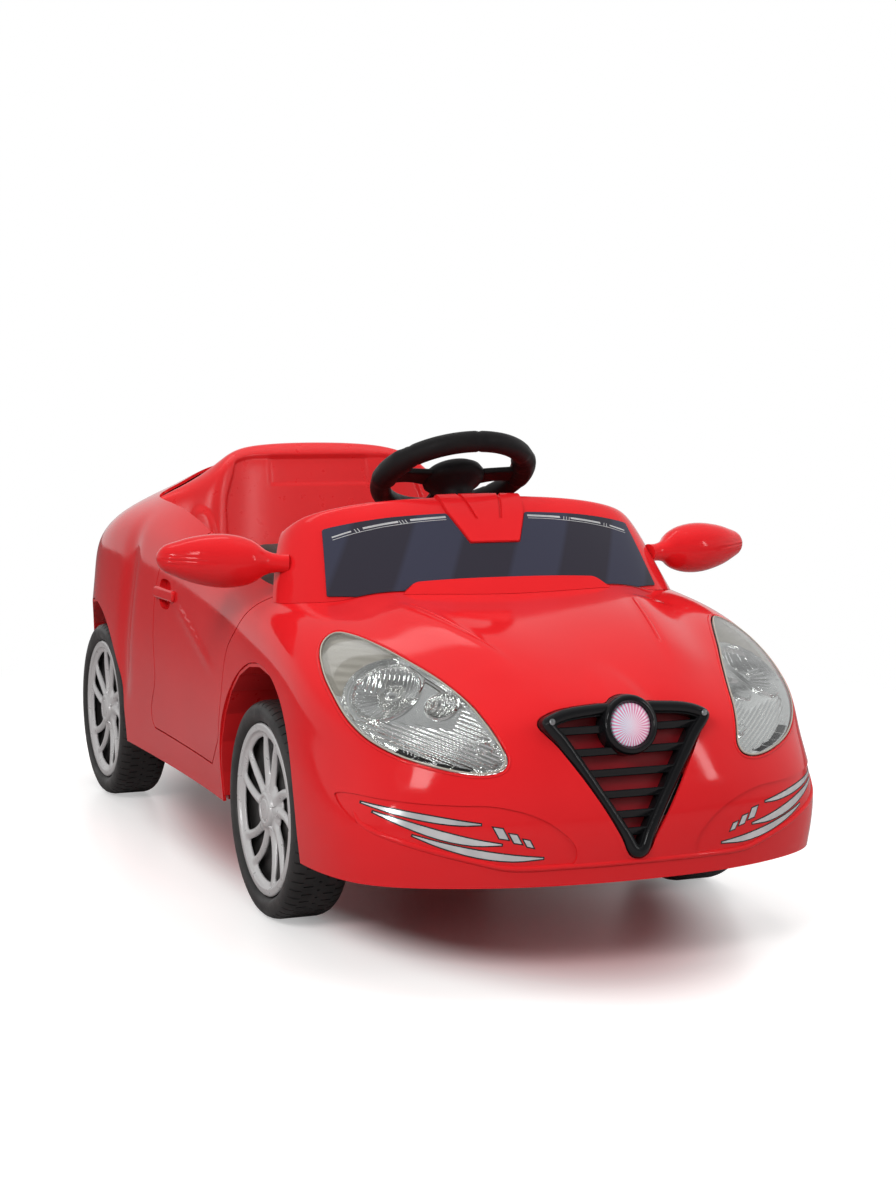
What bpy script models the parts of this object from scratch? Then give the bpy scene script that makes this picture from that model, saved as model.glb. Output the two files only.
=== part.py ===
# Child's battery ride-on car.  Metres, +Z up, nose towards -Y, the driver's left at +X,
# origin on the ground under the middle of the car.
import bpy
import bmesh
from math import cos, pi, radians, sin
from mathutils import Matrix, Vector

# Driving dimensions
WHEEL_R = 0.100
WHEEL_X = 0.2055
FRONT_AXLE_Y = -0.240
REAR_AXLE_Y = 0.358
SKIN = 0.003
GAP = 0.0003
DOOR_GAP = 0.0016
KING_PIN_X = 0.165
KNUCKLE_ARM = 0.040
CRANK_ARM = 0.022
WHEEL_CENTRE = Vector((0.0, -0.133, 0.3965))
STEER_AXIS = Vector((0.0, 0.5, 0.8660254))
STEER_UP = Vector((0.0, -0.8660254, 0.5))
PEDAL_PIVOT = Vector((-0.075, -0.0850, 0.0965))
# Two points of a door's hinge line, on the left side
HINGE_LOW = Vector((0.2335, -0.1120, 0.1145))
HINGE_HIGH = Vector((0.2335, -0.1850, 0.2900))
X_AXIS = Vector((1, 0, 0))
Y_AXIS = Vector((0, 1, 0))
Z_AXIS = Vector((0, 0, 1))
CAR = "ride_on_car"
SIDES = (("left", 1), ("right", -1))
AXLES = (("front", FRONT_AXLE_Y), ("rear", REAR_AXLE_Y))


# Scene, materials and small helpers
def clear_scene():
    for obj in list(bpy.data.objects):
        bpy.data.objects.remove(obj, do_unlink=True)
    for name in (CAR, "cutters"):
        made = bpy.data.collections.new(name)
        bpy.context.scene.collection.children.link(made)


def material(name, colour, roughness, metallic=0.0, alpha=1.0):
    made = bpy.data.materials.new(name)
    made.use_nodes = True
    shader = made.node_tree.nodes["Principled BSDF"]
    shader.inputs["Base Color"].default_value = (*colour, 1.0)
    shader.inputs["Roughness"].default_value = roughness
    shader.inputs["Metallic"].default_value = metallic
    shader.inputs["Alpha"].default_value = alpha
    made.diffuse_color = (*colour, alpha)
    return made


def make_materials():
    return {
        "red": material("red_gloss_plastic", (0.73, 0.018, 0.022), 0.18),
        "red_satin": material("red_satin_plastic", (0.62, 0.016, 0.018), 0.38),
        "black": material("black_plastic", (0.012, 0.012, 0.013), 0.45),
        "black_gloss": material("black_gloss_plastic", (0.008, 0.008, 0.009), 0.12),
        "silver": material("silver_painted_plastic", (0.42, 0.43, 0.45), 0.32, 0.55),
        "steel": material("plated_steel", (0.55, 0.56, 0.57), 0.30, 1.0),
        "chrome": material("chrome_reflector", (0.80, 0.80, 0.82), 0.08, 1.0),
        "clear": material("clear_lens", (0.90, 0.93, 0.95), 0.04, 0.0, 0.35),
        "tail": material("red_tail_lens", (0.55, 0.01, 0.01), 0.08),
        "film": material("dark_screen_film", (0.018, 0.021, 0.035), 0.15),
        "pad": material("dark_seat_fabric", (0.030, 0.022, 0.020), 0.75),
        "mirror": material("mirror_glass", (0.85, 0.86, 0.88), 0.03, 1.0),
        "badge": material("badge_print", (0.75, 0.35, 0.50), 0.25),
    }


def frame(centre, u, v):
    """A placement whose local X and Y run along u and v, at centre."""
    u, v = Vector(u).normalized(), Vector(v).normalized()
    w = u.cross(v)
    placed = Matrix((u, v, w)).transposed().to_4x4()
    placed.translation = Vector(centre)
    return placed


def aimed(direction, centre):
    """A placement whose local Z runs along direction."""
    placed = Vector(direction).to_track_quat("Z", "Y").to_matrix().to_4x4()
    placed.translation = Vector(centre)
    return placed


def link(name, mesh, placement, mat, group=CAR):
    obj = bpy.data.objects.new(name, mesh)
    obj.matrix_world = placement
    if mat:
        mesh.materials.append(mat)
    bpy.data.collections[group].objects.link(obj)
    return obj


def pivot(name, placement, *pieces):
    """An empty on a joint's axis that carries the pieces, which keep their places."""
    empty = bpy.data.objects.new(name, None)
    empty.empty_display_size = 0.03
    empty.matrix_world = placement
    bpy.data.collections[CAR].objects.link(empty)
    for piece in pieces:
        piece.parent = empty
        piece.matrix_parent_inverse = placement.inverted()
    return empty


def as_cutter(obj):
    obj.hide_render = True
    obj.display_type = "WIRE"
    return obj


def mesh_from(name, bm):
    mesh = bpy.data.meshes.new(name)
    bm.to_mesh(mesh)
    bm.free()
    return mesh


def box(name, size, placement, mat=None, group=CAR, bevel=0.0):
    bm = bmesh.new()
    bmesh.ops.create_cube(bm, size=1.0, matrix=Matrix.Diagonal((*size, 1.0)))
    obj = link(name, mesh_from(name, bm), placement, mat, group)
    if bevel:
        soften(obj, bevel)
    return obj


def at(x, y, z):
    return Matrix.Translation((x, y, z))


def soften(obj, width, segments=1, angle=50):
    bevel = obj.modifiers.new("Bevel", "BEVEL")
    bevel.width = width
    bevel.segments = segments
    bevel.limit_method = "ANGLE"
    bevel.angle_limit = radians(angle)
    return bevel


def rod(name, radius, length, placement, mat=None, group=CAR, sides=12):
    bm = bmesh.new()
    bmesh.ops.create_cone(bm, cap_ends=True, segments=sides, radius1=radius, radius2=radius, depth=length)
    mesh = mesh_from(name, bm)
    mesh.shade_smooth()
    mesh.set_sharp_from_angle(angle=radians(50))
    return link(name, mesh, placement, mat, group)


def turned(name, profile, placement, mat=None, group=CAR, steps=24, closed=False):
    """A profile of (radius, height) points, top to bottom down its outer side, turned about local Z."""
    bm = bmesh.new()
    verts = [bm.verts.new((r, 0.0, h)) for r, h in profile]
    pairs = list(zip(verts, verts[1:]))
    if closed:
        pairs.append((verts[-1], verts[0]))
    for a, b in pairs:
        bm.edges.new((a, b))
    obj = link(name, mesh_from(name, bm), placement, mat, group)
    screw = obj.modifiers.new("Screw", "SCREW")
    screw.axis = "Z"
    screw.angle = 2 * pi
    screw.steps = screw.render_steps = steps
    screw.use_merge_vertices = True
    screw.merge_threshold = 0.00002
    return obj


def plate(name, outline, depth, placement, mat=None, group=CAR):
    """A flat outline in local X and Y, made depth thick evenly about its plane."""
    bm = bmesh.new()
    bm.faces.new([bm.verts.new((u, v, 0.0)) for u, v in outline])
    bmesh.ops.recalc_face_normals(bm, faces=bm.faces)
    obj = link(name, mesh_from(name, bm), placement, mat, group)
    solid = obj.modifiers.new("Solidify", "SOLIDIFY")
    solid.thickness = depth
    solid.offset = 0.0
    return obj


def boolean(obj, cutter, operation="DIFFERENCE", solver="EXACT"):
    made = obj.modifiers.new(operation.title(), "BOOLEAN")
    made.operation = operation
    made.object = cutter
    made.solver = solver
    return made


def cut(obj, *tools, solver="EXACT"):
    for tool in tools:
        boolean(obj, as_cutter(tool), solver=solver)


def fuse(obj, *pieces, solver="EXACT"):
    for piece in pieces:
        boolean(obj, as_cutter(piece), "UNION", solver)


def grow(outline, amount):
    """The outline moved outward by amount along its corners."""
    area = sum(a[0] * b[1] - b[0] * a[1] for a, b in zip(outline, outline[1:] + outline[:1]))
    side = 1 if area > 0 else -1
    grown = []
    for i, p in enumerate(outline):
        before = Vector(outline[i - 1])
        after = Vector(outline[(i + 1) % len(outline)])
        a = (Vector(p) - before).normalized()
        b = (after - Vector(p)).normalized()
        normal = Vector((a.y + b.y, -a.x - b.x)).normalized() * side
        share = max(0.5, normal.dot(Vector((a.y, -a.x)) * side))
        grown.append((p[0] + normal.x * amount / share, p[1] + normal.y * amount / share))
    return grown


def mirrored(outline):
    return [(-u, v) for u, v in reversed(outline)]


def arc(centre, radius, start, end, steps):
    angles = [radians(start + (end - start) * i / steps) for i in range(steps + 1)]
    return [(centre[0] + radius * cos(a), centre[1] + radius * sin(a)) for a in angles]


def smooth_curve(points):
    """A smooth function through (t, value) points."""
    ts = [p[0] for p in points]
    vs = [p[1] for p in points]
    slopes = []
    for i in range(len(ts)):
        lo, hi = max(i - 1, 0), min(i + 1, len(ts) - 1)
        slopes.append((vs[hi] - vs[lo]) / (ts[hi] - ts[lo]))

    def value(t):
        if t <= ts[0]:
            return vs[0] + slopes[0] * (t - ts[0])
        if t >= ts[-1]:
            return vs[-1] + slopes[-1] * (t - ts[-1])
        i = max(k for k in range(len(ts) - 1) if ts[k] <= t)
        h = ts[i + 1] - ts[i]
        u = (t - ts[i]) / h
        a, b = vs[i], vs[i + 1]
        ma, mb = slopes[i] * h, slopes[i + 1] * h
        return ((2 * u**3 - 3 * u**2 + 1) * a + (u**3 - 2 * u**2 + u) * ma
                + (3 * u**2 - 2 * u**3) * b + (u**3 - u**2) * mb)

    return value


# Body feature lines, each a smooth function of the distance along the car
CENTRE_Z = smooth_curve([
    (-0.508, 0.224), (-0.457, 0.250), (-0.40, 0.268), (-0.33, 0.284), (-0.26, 0.298), (-0.19, 0.308),
    (0.315, 0.396), (0.36, 0.386), (0.41, 0.368), (0.45, 0.345), (0.505, 0.312)])
CREASE_X = smooth_curve([
    (-0.50, 0.050), (-0.45, 0.074), (-0.38, 0.095), (-0.31, 0.112), (-0.25, 0.124), (-0.18, 0.130),
    (0.28, 0.115), (0.50, 0.10)])
CREASE_Z = smooth_curve([
    (-0.50, 0.228), (-0.45, 0.257), (-0.38, 0.279), (-0.31, 0.294), (-0.25, 0.302), (-0.18, 0.308),
    (0.28, 0.390), (0.34, 0.384), (0.40, 0.362), (0.45, 0.335), (0.50, 0.305)])
VALLEY_X = smooth_curve([
    (-0.49, 0.095), (-0.43, 0.120), (-0.36, 0.135), (-0.30, 0.148), (-0.24, 0.160), (-0.17, 0.165),
    (0.26, 0.150), (0.48, 0.145)])
VALLEY_Z = smooth_curve([
    (-0.49, 0.220), (-0.43, 0.247), (-0.36, 0.270), (-0.30, 0.283), (-0.24, 0.290), (-0.17, 0.296),
    (0.26, 0.366), (0.33, 0.366), (0.39, 0.350), (0.44, 0.326), (0.48, 0.300)])
CREST_X = smooth_curve([
    (-0.46, 0.158), (-0.42, 0.178), (-0.36, 0.191), (-0.28, 0.198), (-0.20, 0.200), (-0.10, 0.200),
    (0.10, 0.197), (0.30, 0.198), (0.40, 0.196), (0.47, 0.188)])
CREST_Z = smooth_curve([
    (-0.46, 0.217), (-0.42, 0.237), (-0.36, 0.265), (-0.28, 0.285), (-0.20, 0.290), (-0.10, 0.306),
    (0.00, 0.327), (0.09, 0.352), (0.20, 0.356), (0.30, 0.349), (0.38, 0.334), (0.44, 0.310), (0.47, 0.290)])
SHOULDER_X = smooth_curve([
    (-0.44, 0.218), (-0.40, 0.230), (-0.35, 0.235), (-0.28, 0.234), (-0.20, 0.231), (-0.10, 0.226),
    (0.00, 0.222), (0.10, 0.223), (0.20, 0.231), (0.30, 0.236), (0.38, 0.233), (0.46, 0.214)])
SHOULDER_Z = smooth_curve([
    (-0.44, 0.199), (-0.40, 0.222), (-0.35, 0.247), (-0.28, 0.263), (-0.20, 0.272), (-0.10, 0.286),
    (0.00, 0.303), (0.10, 0.323), (0.20, 0.330), (0.30, 0.323), (0.38, 0.306), (0.46, 0.270)])
SIDE_X = smooth_curve([
    (-0.455, 0.234), (-0.40, 0.243), (-0.34, 0.245), (-0.28, 0.244), (-0.20, 0.241), (-0.10, 0.236),
    (0.00, 0.235), (0.10, 0.236), (0.20, 0.242), (0.30, 0.246), (0.38, 0.244), (0.44, 0.236), (0.478, 0.218)])
SILL_Z = smooth_curve([
    (-0.536, 0.082), (-0.44, 0.079), (-0.36, 0.078), (-0.12, 0.084), (0.22, 0.084), (0.40, 0.086), (0.54, 0.092)])
# Each station is a distance along the centre line and how far its row bows back at the sides
FRONT_STATIONS = [(-0.508, 1.60), (-0.458, 1.45), (-0.396, 1.28), (-0.328, 1.15), (-0.258, 1.0), (-0.202, 0.7)]
COCKPIT_STATIONS = [-0.065, 0.130]
REAR_STATIONS = [(0.318, -0.95), (0.370, -0.90), (0.442, -1.05), (0.512, -1.35)]
NOSE_WALL = [(0.0, -0.5405), (0.080, -0.5340), (0.138, -0.5175), (0.192, -0.4915), (0.230, -0.4540)]
TAIL_WALL = [(0.0, 0.5425), (0.090, 0.5385), (0.150, 0.5275), (0.190, 0.5105), (0.217, 0.478)]
WALL_SHARES = [0.78, 0.40, 0.0]
WALL_IN = [0.0066, -0.0013, 0.007]


def top_point(station, bow, column):
    """A cage point of the hood or the rear deck: column 0 is the centre line and 4 the shoulder."""
    y = station
    for _ in range(4):
        x = [0.0, CREASE_X(y), VALLEY_X(y), CREST_X(y), SHOULDER_X(y)][column]
        y = station + bow * x * x
    z = [CENTRE_Z(y), CREASE_Z(y) + 0.0008, VALLEY_Z(y), CREST_Z(y), SHOULDER_Z(y)][column]
    return (x, y, z)


def lean_of(y, share):
    """How far the nose and tail walls lean back as they rise."""
    if y < -0.44:
        return 0.016 * max(share - 0.42, 0) / 0.43
    if y > 0.47:
        return 0.010 * max(share - 0.42, 0) / 0.43
    return 0.0


def body_cage():
    """Half of the body as an open cage of quads: hood, rear deck, cockpit rim, nose, side and tail walls."""
    points, faces = [], []

    def add(p):
        points.append(p)
        return len(points) - 1

    hood = [[add(top_point(y, bow, c)) for c in range(5)] for y, bow in FRONT_STATIONS]
    cockpit = [[add(top_point(y, 0.0, c)) for c in (3, 4)] for y in COCKPIT_STATIONS]
    deck = [[add(top_point(y, bow, c)) for c in range(5)] for y, bow in REAR_STATIONS]
    for block in (hood, deck):
        for a, b in zip(block, block[1:]):
            for c in range(4):
                faces.append((a[c], a[c + 1], b[c + 1], b[c]))
    strip = [hood[-1][3:]] + cockpit + [deck[0][3:]]
    for a, b in zip(strip, strip[1:]):
        faces.append((a[0], a[1], b[1], b[0]))
    # The wall runs from the middle of the nose round the side to the middle of the tail
    side_top = [row[4] for row in hood[1:]] + [row[1] for row in cockpit] + [row[4] for row in deck[:-1]]
    rim = list(hood[0]) + side_top + list(reversed(deck[-1]))
    plan = list(NOSE_WALL) + [(SIDE_X(points[v][1]), points[v][1]) for v in side_top] + list(reversed(TAIL_WALL))
    columns = []
    for k, (v, (px, py)) in enumerate(zip(rim, plan)):
        before, after = plan[max(k - 1, 0)], plan[min(k + 1, len(plan) - 1)]
        along = Vector((after[0] - before[0], after[1] - before[1])).normalized()
        outward = Vector((along.y, -along.x))
        if px == 0.0:
            outward = Vector((0, -1 if py < 0 else 1))
        top_z, low_z = points[v][2], SILL_Z(py)
        column = [v]
        for share, inward in zip(WALL_SHARES, WALL_IN):
            back = inward + lean_of(py, share)
            z = low_z + (top_z - low_z) * share
            column.append(add((px - outward.x * back, py - outward.y * back, z)))
        columns.append(column)
    for a, b in zip(columns, columns[1:]):
        for r in range(len(a) - 1):
            faces.append((a[r], a[r + 1], b[r + 1], b[r]))
    return points, faces


def cage_mesh(name, points, faces, outside):
    """An open cage as a mesh whose normals point away from the inside point."""
    mesh = bpy.data.meshes.new(name)
    mesh.from_pydata(points, [], faces)
    bm = bmesh.new()
    bm.from_mesh(mesh)
    bmesh.ops.recalc_face_normals(bm, faces=bm.faces)
    bm.faces.ensure_lookup_table()
    facing = sum(f.normal.dot(outside) * f.calc_area() for f in bm.faces)
    if facing < 0:
        bmesh.ops.reverse_faces(bm, faces=bm.faces)
    bm.to_mesh(mesh)
    bm.free()
    for face in mesh.polygons:
        face.use_smooth = True
    return mesh


def skin(name, mesh, low, high, mat=None, group=CAR, side=0):
    """A shell on a half cage, from low to high measured outward from the cage's smooth surface.

    With side 0 it is mirrored to the whole width, and with side 1 or -1 it is the left or right half alone."""
    shell = mesh.copy()
    if side < 0:
        shell.transform(Matrix.Diagonal((-1, 1, 1, 1)))
        shell.flip_normals()
    obj = link(name, shell, Matrix.Identity(4), mat, group)
    if side == 0:
        half = obj.modifiers.new("Mirror", "MIRROR")
        half.merge_threshold = 0.0001
    sub = obj.modifiers.new("Subdivision", "SUBSURF")
    sub.levels = sub.render_levels = 1
    solid = obj.modifiers.new("Solidify", "SOLIDIFY")
    solid.thickness = high - low
    solid.offset = (high + low) / (high - low)
    solid.use_even_offset = low > -0.01 and high < 0.01
    return obj


# Outlines on the body, as points on the left half of its surface
DOOR = [(-0.197, 0.306), (-0.184, 0.286), (-0.160, 0.258), (-0.137, 0.238), (-0.1295, 0.222), (-0.127, 0.190),
        (-0.117, 0.144), (-0.088, 0.1145), (0.118, 0.1165), (0.126, 0.124), (0.127, 0.138), (0.110, 0.168),
        (0.112, 0.190), (0.119, 0.215), (0.122, 0.262), (0.112, 0.292), (0.080, 0.318), (0.030, 0.331),
        (0.020, 0.372), (-0.197, 0.340)]
LENS = [(0.2067, -0.3313, 0.2598), (0.2150, -0.3600, 0.2430), (0.2153, -0.3858, 0.2271), (0.2114, -0.4145, 0.2084),
        (0.2006, -0.4381, 0.1939), (0.1813, -0.4636, 0.1830), (0.1555, -0.4872, 0.1764), (0.1306, -0.5016, 0.1733),
        (0.1133, -0.5069, 0.1764), (0.1074, -0.5055, 0.1840), (0.1091, -0.4989, 0.1946), (0.1158, -0.4832, 0.2115),
        (0.1232, -0.4586, 0.2273), (0.1353, -0.4268, 0.2419), (0.1497, -0.3946, 0.2535), (0.1641, -0.3609, 0.2635),
        (0.1789, -0.3311, 0.2700), (0.1915, -0.3199, 0.2700)]
LENS_AIM = Vector((0.66, -0.62, 0.42)).normalized()
TAIL_LENS = [(0.218, 0.455, 0.235), (0.214, 0.478, 0.252), (0.190, 0.505, 0.256), (0.150, 0.520, 0.254),
             (0.145, 0.525, 0.232), (0.160, 0.525, 0.214), (0.200, 0.505, 0.208), (0.216, 0.480, 0.214)]
TAIL_AIM = Vector((0.45, 0.89, 0.10)).normalized()
GRILLE_TILT = radians(13.5)
GRILLE_CENTRE = (0.0, -0.5185, 0.165)
# The sunk band of the bumper, seen from the front in X and Z
BAND = [(0.2290, 0.1500), (0.2236, 0.1538), (0.2044, 0.1527), (0.1750, 0.1509), (0.1483, 0.1502), (0.1198, 0.1492),
        (0.0860, 0.1390), (0.0600, 0.1190), (0.0560, 0.1040), (0.0650, 0.0985), (0.1092, 0.0981), (0.1380, 0.1044),
        (0.1761, 0.1146), (0.2059, 0.1243), (0.2215, 0.1330)]
# The plane in which the screen's film and trim are drawn, and their half outlines
SCREEN_ORIGIN = (0.0, -0.235, 0.335)
SCREEN_RISE = (0.0, 0.574, 0.819)
FILM = [(0.0, 0.0017), (0.0259, 0.0017), (0.0408, 0.0374), (0.1000, 0.0372), (0.1592, 0.0355), (0.1700, -0.0373),
        (0.1400, -0.0450), (0.1070, -0.0490), (0.0931, -0.0385), (0.0, -0.0385)]
TAB = [(0.0, 0.0025), (0.0253, 0.0025), (0.0404, 0.0388), (0.0440, 0.0640), (0.0, 0.0640)]
NOTCH = [(0.0205, 0.0680), (0.0245, 0.0680), (0.0140, 0.0290), (0.0110, 0.0290)]
STEP = [(0.0, -0.0393), (0.0922, -0.0393), (0.1080, -0.0520), (0.1080, -0.0640), (0.0, -0.0640)]


def project(points, aim, side):
    """The points seen along aim, as an outline in the plane through their middle, and that plane's placement."""
    flipped = [Vector((p[0] * side, p[1], p[2])) for p in points]
    middle = sum(flipped, Vector()) / len(flipped)
    w = Vector((aim.x * side, aim.y, aim.z))
    u = Z_AXIS.cross(w).normalized()
    v = w.cross(u)
    outline = [((p - middle).dot(u), (p - middle).dot(v)) for p in flipped]
    return outline, frame(middle, u, v)


def arch(radius, centre_z, steps=12):
    """The wheel opening's outline in Y and Z about its axle: a round top on straight legs."""
    top = arc((0.0, centre_z), radius, 0, 180, steps)
    return top + [(-radius, 0.040), (radius, 0.040)]


def side_frame(x, y=0.0, z=0.0):
    """Local X and Y run along the car and up, local Z runs to the left."""
    return frame((x, y, z), Y_AXIS, Z_AXIS)


FRONT_ARCH = (0.1225, 0.1125)
REAR_ARCH = (0.1290, 0.1010)


def grille_outline():
    """The grille's outer edge in its own plane: a wide top with round corners, closing to a low point."""
    half = [(0.0, -0.0655), (0.0085, -0.0620), (0.0160, -0.0480), (0.0650, 0.0300), (0.0770, 0.0450),
            (0.0785, 0.0510), (0.0732, 0.0565), (0.0550, 0.0620), (0.0250, 0.0645)]
    ring = arc((0.0, 0.0450), 0.0262, 48, 132, 6)
    return half + ring + mirrored(half[1:])


# Body panels and lights
BAND_DEPTH = 0.0013
POCKET = [(0.0680, 0.2560), (0.0740, 0.2490), (0.0960, 0.2490), (0.1060, 0.2560), (0.1090, 0.2650), (0.1040, 0.2770),
          (0.0760, 0.2770), (0.0690, 0.2700)]
POCKET_DEPTH = 0.0075
HANDLE = [(-0.0330, -0.0040), (-0.0300, -0.0060), (0.0280, -0.0060), (0.0320, -0.0030), (0.0320, 0.0030),
          (0.0280, 0.0060), (-0.0300, 0.0060), (-0.0330, 0.0040)]
# Each lamp bowl's middle in the lens plane, radius, rim, depth and steps
LAMPS = (("main", (0.0176, 0.0055), 0.0255, -0.0060, 0.0140, 14),
         ("side", (-0.0280, 0.0025), 0.0118, -0.0040, 0.0075, 10))


def grille_place():
    return frame(GRILLE_CENTRE, X_AXIS, (0, sin(GRILLE_TILT), cos(GRILLE_TILT)))


def patch(name, cage, low, high, outline, depth, placement, side):
    """A cutter: the stretch of skin from low to high that lies inside an outline."""
    made = skin(name, cage, low, high, None, "cutters", side)
    boolean(made, as_cutter(plate(f"{name}_blank", outline, depth, placement, None, "cutters")), "INTERSECT")
    return made


def make_body(mats, cage):
    body = skin("body_shell", cage, -SKIN, 0.0, mats["red"])
    for (end, axle), (radius, height) in zip(AXLES, (FRONT_ARCH, REAR_ARCH)):
        cut(body, plate(f"cut_arch_{end}", arch(radius, height), 0.60, side_frame(0, axle), None, "cutters"))
    cut(body, plate("cut_grille", grow(grille_outline(), GAP), 0.060, grille_place(), None, "cutters"))
    for label, side in SIDES:
        cut(body, plate(f"cut_door_{label}", DOOR, 0.10, side_frame(side * 0.235), None, "cutters"))
        for light, points, aim in (("lens", LENS, LENS_AIM), ("tail", TAIL_LENS, TAIL_AIM)):
            outline, place = project(points, aim, side)
            cut(body, plate(f"cut_{light}_{label}", outline, 0.080, place, None, "cutters"))
        band = [(side * u, v) for u, v in BAND]
        cut(body, patch(f"cut_band_{label}", cage, -BAND_DEPTH, 0.010, band, 0.200,
                        frame((0, -0.480, 0), X_AXIS, Z_AXIS), side))


def make_doors(mats, cage):
    """Each door has a dished pocket with the handle's bar across it, and hangs on its slanted hinge line."""
    for label, side in SIDES:
        beside = side_frame(side * 0.235)
        door = skin(f"door_{label}", cage, -SKIN, 0.0, mats["red"], side=side)
        blank = plate(f"door_blank_{label}", grow(DOOR, -DOOR_GAP), 0.098, beside, None, "cutters")
        boolean(door, as_cutter(blank), "INTERSECT")
        fuse(door, patch(f"pocket_wall_{label}", cage, -POCKET_DEPTH - 0.002, -0.001, grow(POCKET, 0.0025), 0.080,
                         beside, side), solver="MANIFOLD")
        cut(door, patch(f"cut_pocket_{label}", cage, -POCKET_DEPTH, 0.010, POCKET, 0.080, beside, side),
            solver="MANIFOLD")
        outward = Vector((0.992 * side, -0.040, 0.118)).normalized()
        along = Vector((0.040 * side, 0.999, 0)).normalized()
        place = frame(Vector((0.2304 * side, 0.0865, 0.2635)) + outward * 0.0005, along, outward.cross(along))
        outline = HANDLE if side > 0 else mirrored([(-u, v) for u, v in HANDLE])
        handle = plate(f"door_handle_{label}", outline, 0.0085, place, mats["red"])
        soften(handle, 0.0018, 2)
        cut(handle, skin(f"cut_handle_{label}", cage, -0.030, GAP, None, "cutters", side))
        low = Vector((HINGE_LOW.x * side, HINGE_LOW.y, HINGE_LOW.z))
        pivot(f"door_hinge_{label}", aimed(HINGE_HIGH - HINGE_LOW, low), door, handle)


def make_lights(mats, cage):
    for label, side in SIDES:
        outline, place = project(LENS, LENS_AIM, side)
        lens = skin(f"headlight_lens_{label}", cage, -0.0025, 0.0, mats["clear"], side=side)
        blank = plate(f"lens_blank_{label}", grow(outline, -0.0004), 0.078, place, None, "cutters")
        boolean(lens, as_cutter(blank), "INTERSECT")
        # The reflector seats on the back of the body round the opening and is sunk inside it
        bucket = plate(f"headlight_reflector_{label}", grow(outline, 0.0035), 0.058, place @ at(0, 0, 0.001),
                       mats["chrome"])
        cut(bucket, skin(f"cut_bucket_{label}", cage, -SKIN - 2 * GAP, 0.045, None, "cutters", side))
        cut(bucket, patch(f"cut_well_{label}", cage, -0.0075, 0.045, grow(outline, -0.0032), 0.096, place, side))
        for lamp, (u, v), radius, rim, deep, steps in LAMPS:
            bowl = [(0.0, 0.040), (radius, 0.040), (radius, rim), (radius * 0.6, rim - deep), (0.0, rim - deep)]
            cut(bucket, turned(f"cut_{lamp}_lamp_{label}", bowl, place @ at(side * u, v, 0), None, "cutters", steps))
        outline, place = project(TAIL_LENS, TAIL_AIM, side)
        tail = skin(f"tail_light_{label}", cage, -0.0050, 0.0, mats["tail"], side=side)
        blank = plate(f"tail_blank_{label}", grow(outline, -0.0004), 0.078, place, None, "cutters")
        boolean(tail, as_cutter(blank), "INTERSECT")


GRILLE_BARS = [0.0430, 0.0245, 0.0065, -0.0115, -0.0285, -0.0430]


def make_grille(mats):
    """A rolled frame with a sunk lip, six louvres and a round seat for the badge."""
    place = grille_place()
    outline = grille_outline()
    grille = plate("grille_frame", outline, 0.016, place, mats["black_gloss"])
    soften(grille, 0.0026, 1, 40)
    half = [(0.0, -0.0520), (0.0085, -0.0430), (0.0562, 0.0320), (0.0645, 0.0440), (0.0625, 0.0500),
            (0.0470, 0.0540), (0.0, 0.0555)]
    inner = half + mirrored(half[1:-1])
    cut(grille, plate("cut_grille_inner", inner, 0.050, place, None, "cutters"))
    cut(grille, plate("cut_grille_lip", grow(inner, 0.0022), 0.010, place @ at(0, 0, 0.0105), None, "cutters"))
    for k, v in enumerate(GRILLE_BARS):
        bar = box(f"grille_bar_{k}", (0.0146 + 2 * (v + 0.0600) * 0.62, 0.0034, 0.0100),
                  place @ at(0, v, -0.0015) @ Matrix.Rotation(radians(-14), 4, "X"), None, "cutters")
        fuse(grille, bar)
    seat = [(0.0, 0.0095), (0.0235, 0.0095), (0.0256, 0.0065), (0.0256, -0.0060), (0.0, -0.0060)]
    hub = place @ at(0, 0.0450, 0)
    fuse(grille, turned("badge_seat", seat, hub, None, "cutters", 20))
    cut(grille, rod("cut_ring", 0.0203, 0.0100, hub @ at(0, 0, 0.0104), None, "cutters", 20))
    profile = [(0.0, 0.0090), (0.0120, 0.0082), (0.0199, 0.0060), (0.0, 0.0057)]
    turned("grille_badge", profile, hub, mats["badge"], steps=20)
    plate("grille_backing", grow(outline, -0.003), 0.0030, place @ at(0, 0, -0.0098), mats["red_satin"])


def screen_cage():
    """Half of the windscreen panel: the sloping front, the rolled top edge and the side return."""
    low = [(0.0, -0.2790, 0.2840), (0.060, -0.2780, 0.2840), (0.115, -0.2720, 0.2820), (0.163, -0.2595, 0.2765),
           (0.193, -0.2435, 0.2730), (0.2095, -0.2180, 0.2740), (0.2100, -0.1990, 0.2780)]
    top = [(0.0, -0.2060, 0.3790), (0.060, -0.2050, 0.3785), (0.115, -0.1990, 0.3745), (0.156, -0.1885, 0.3675),
           (0.177, -0.1760, 0.3595), (0.186, -0.1610, 0.3495), (0.187, -0.1500, 0.3455)]
    rise = [(0.0, -0.1880, 0.3835), (0.060, -0.1870, 0.3825), (0.113, -0.1800, 0.3780), (0.150, -0.1710, 0.3705),
            (0.167, -0.1620, 0.3630), (0.175, -0.1535, 0.3545), (0.177, -0.1480, 0.3505)]
    back = [(0.0, -0.1800, 0.3600), (0.058, -0.1790, 0.3600), (0.110, -0.1730, 0.3560), (0.143, -0.1640, 0.3480),
            (0.156, -0.1565, 0.3425), (0.162, -0.1505, 0.3380), (0.165, -0.1470, 0.3360)]
    rows = [low, top, rise, back]
    points = [p for row in rows for p in row]
    width = len(low)
    faces = []
    for r in range(len(rows) - 1):
        for c in range(width - 1):
            k = r * width + c
            faces.append((k, k + 1, k + width + 1, k + width))
    return points, faces


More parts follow.
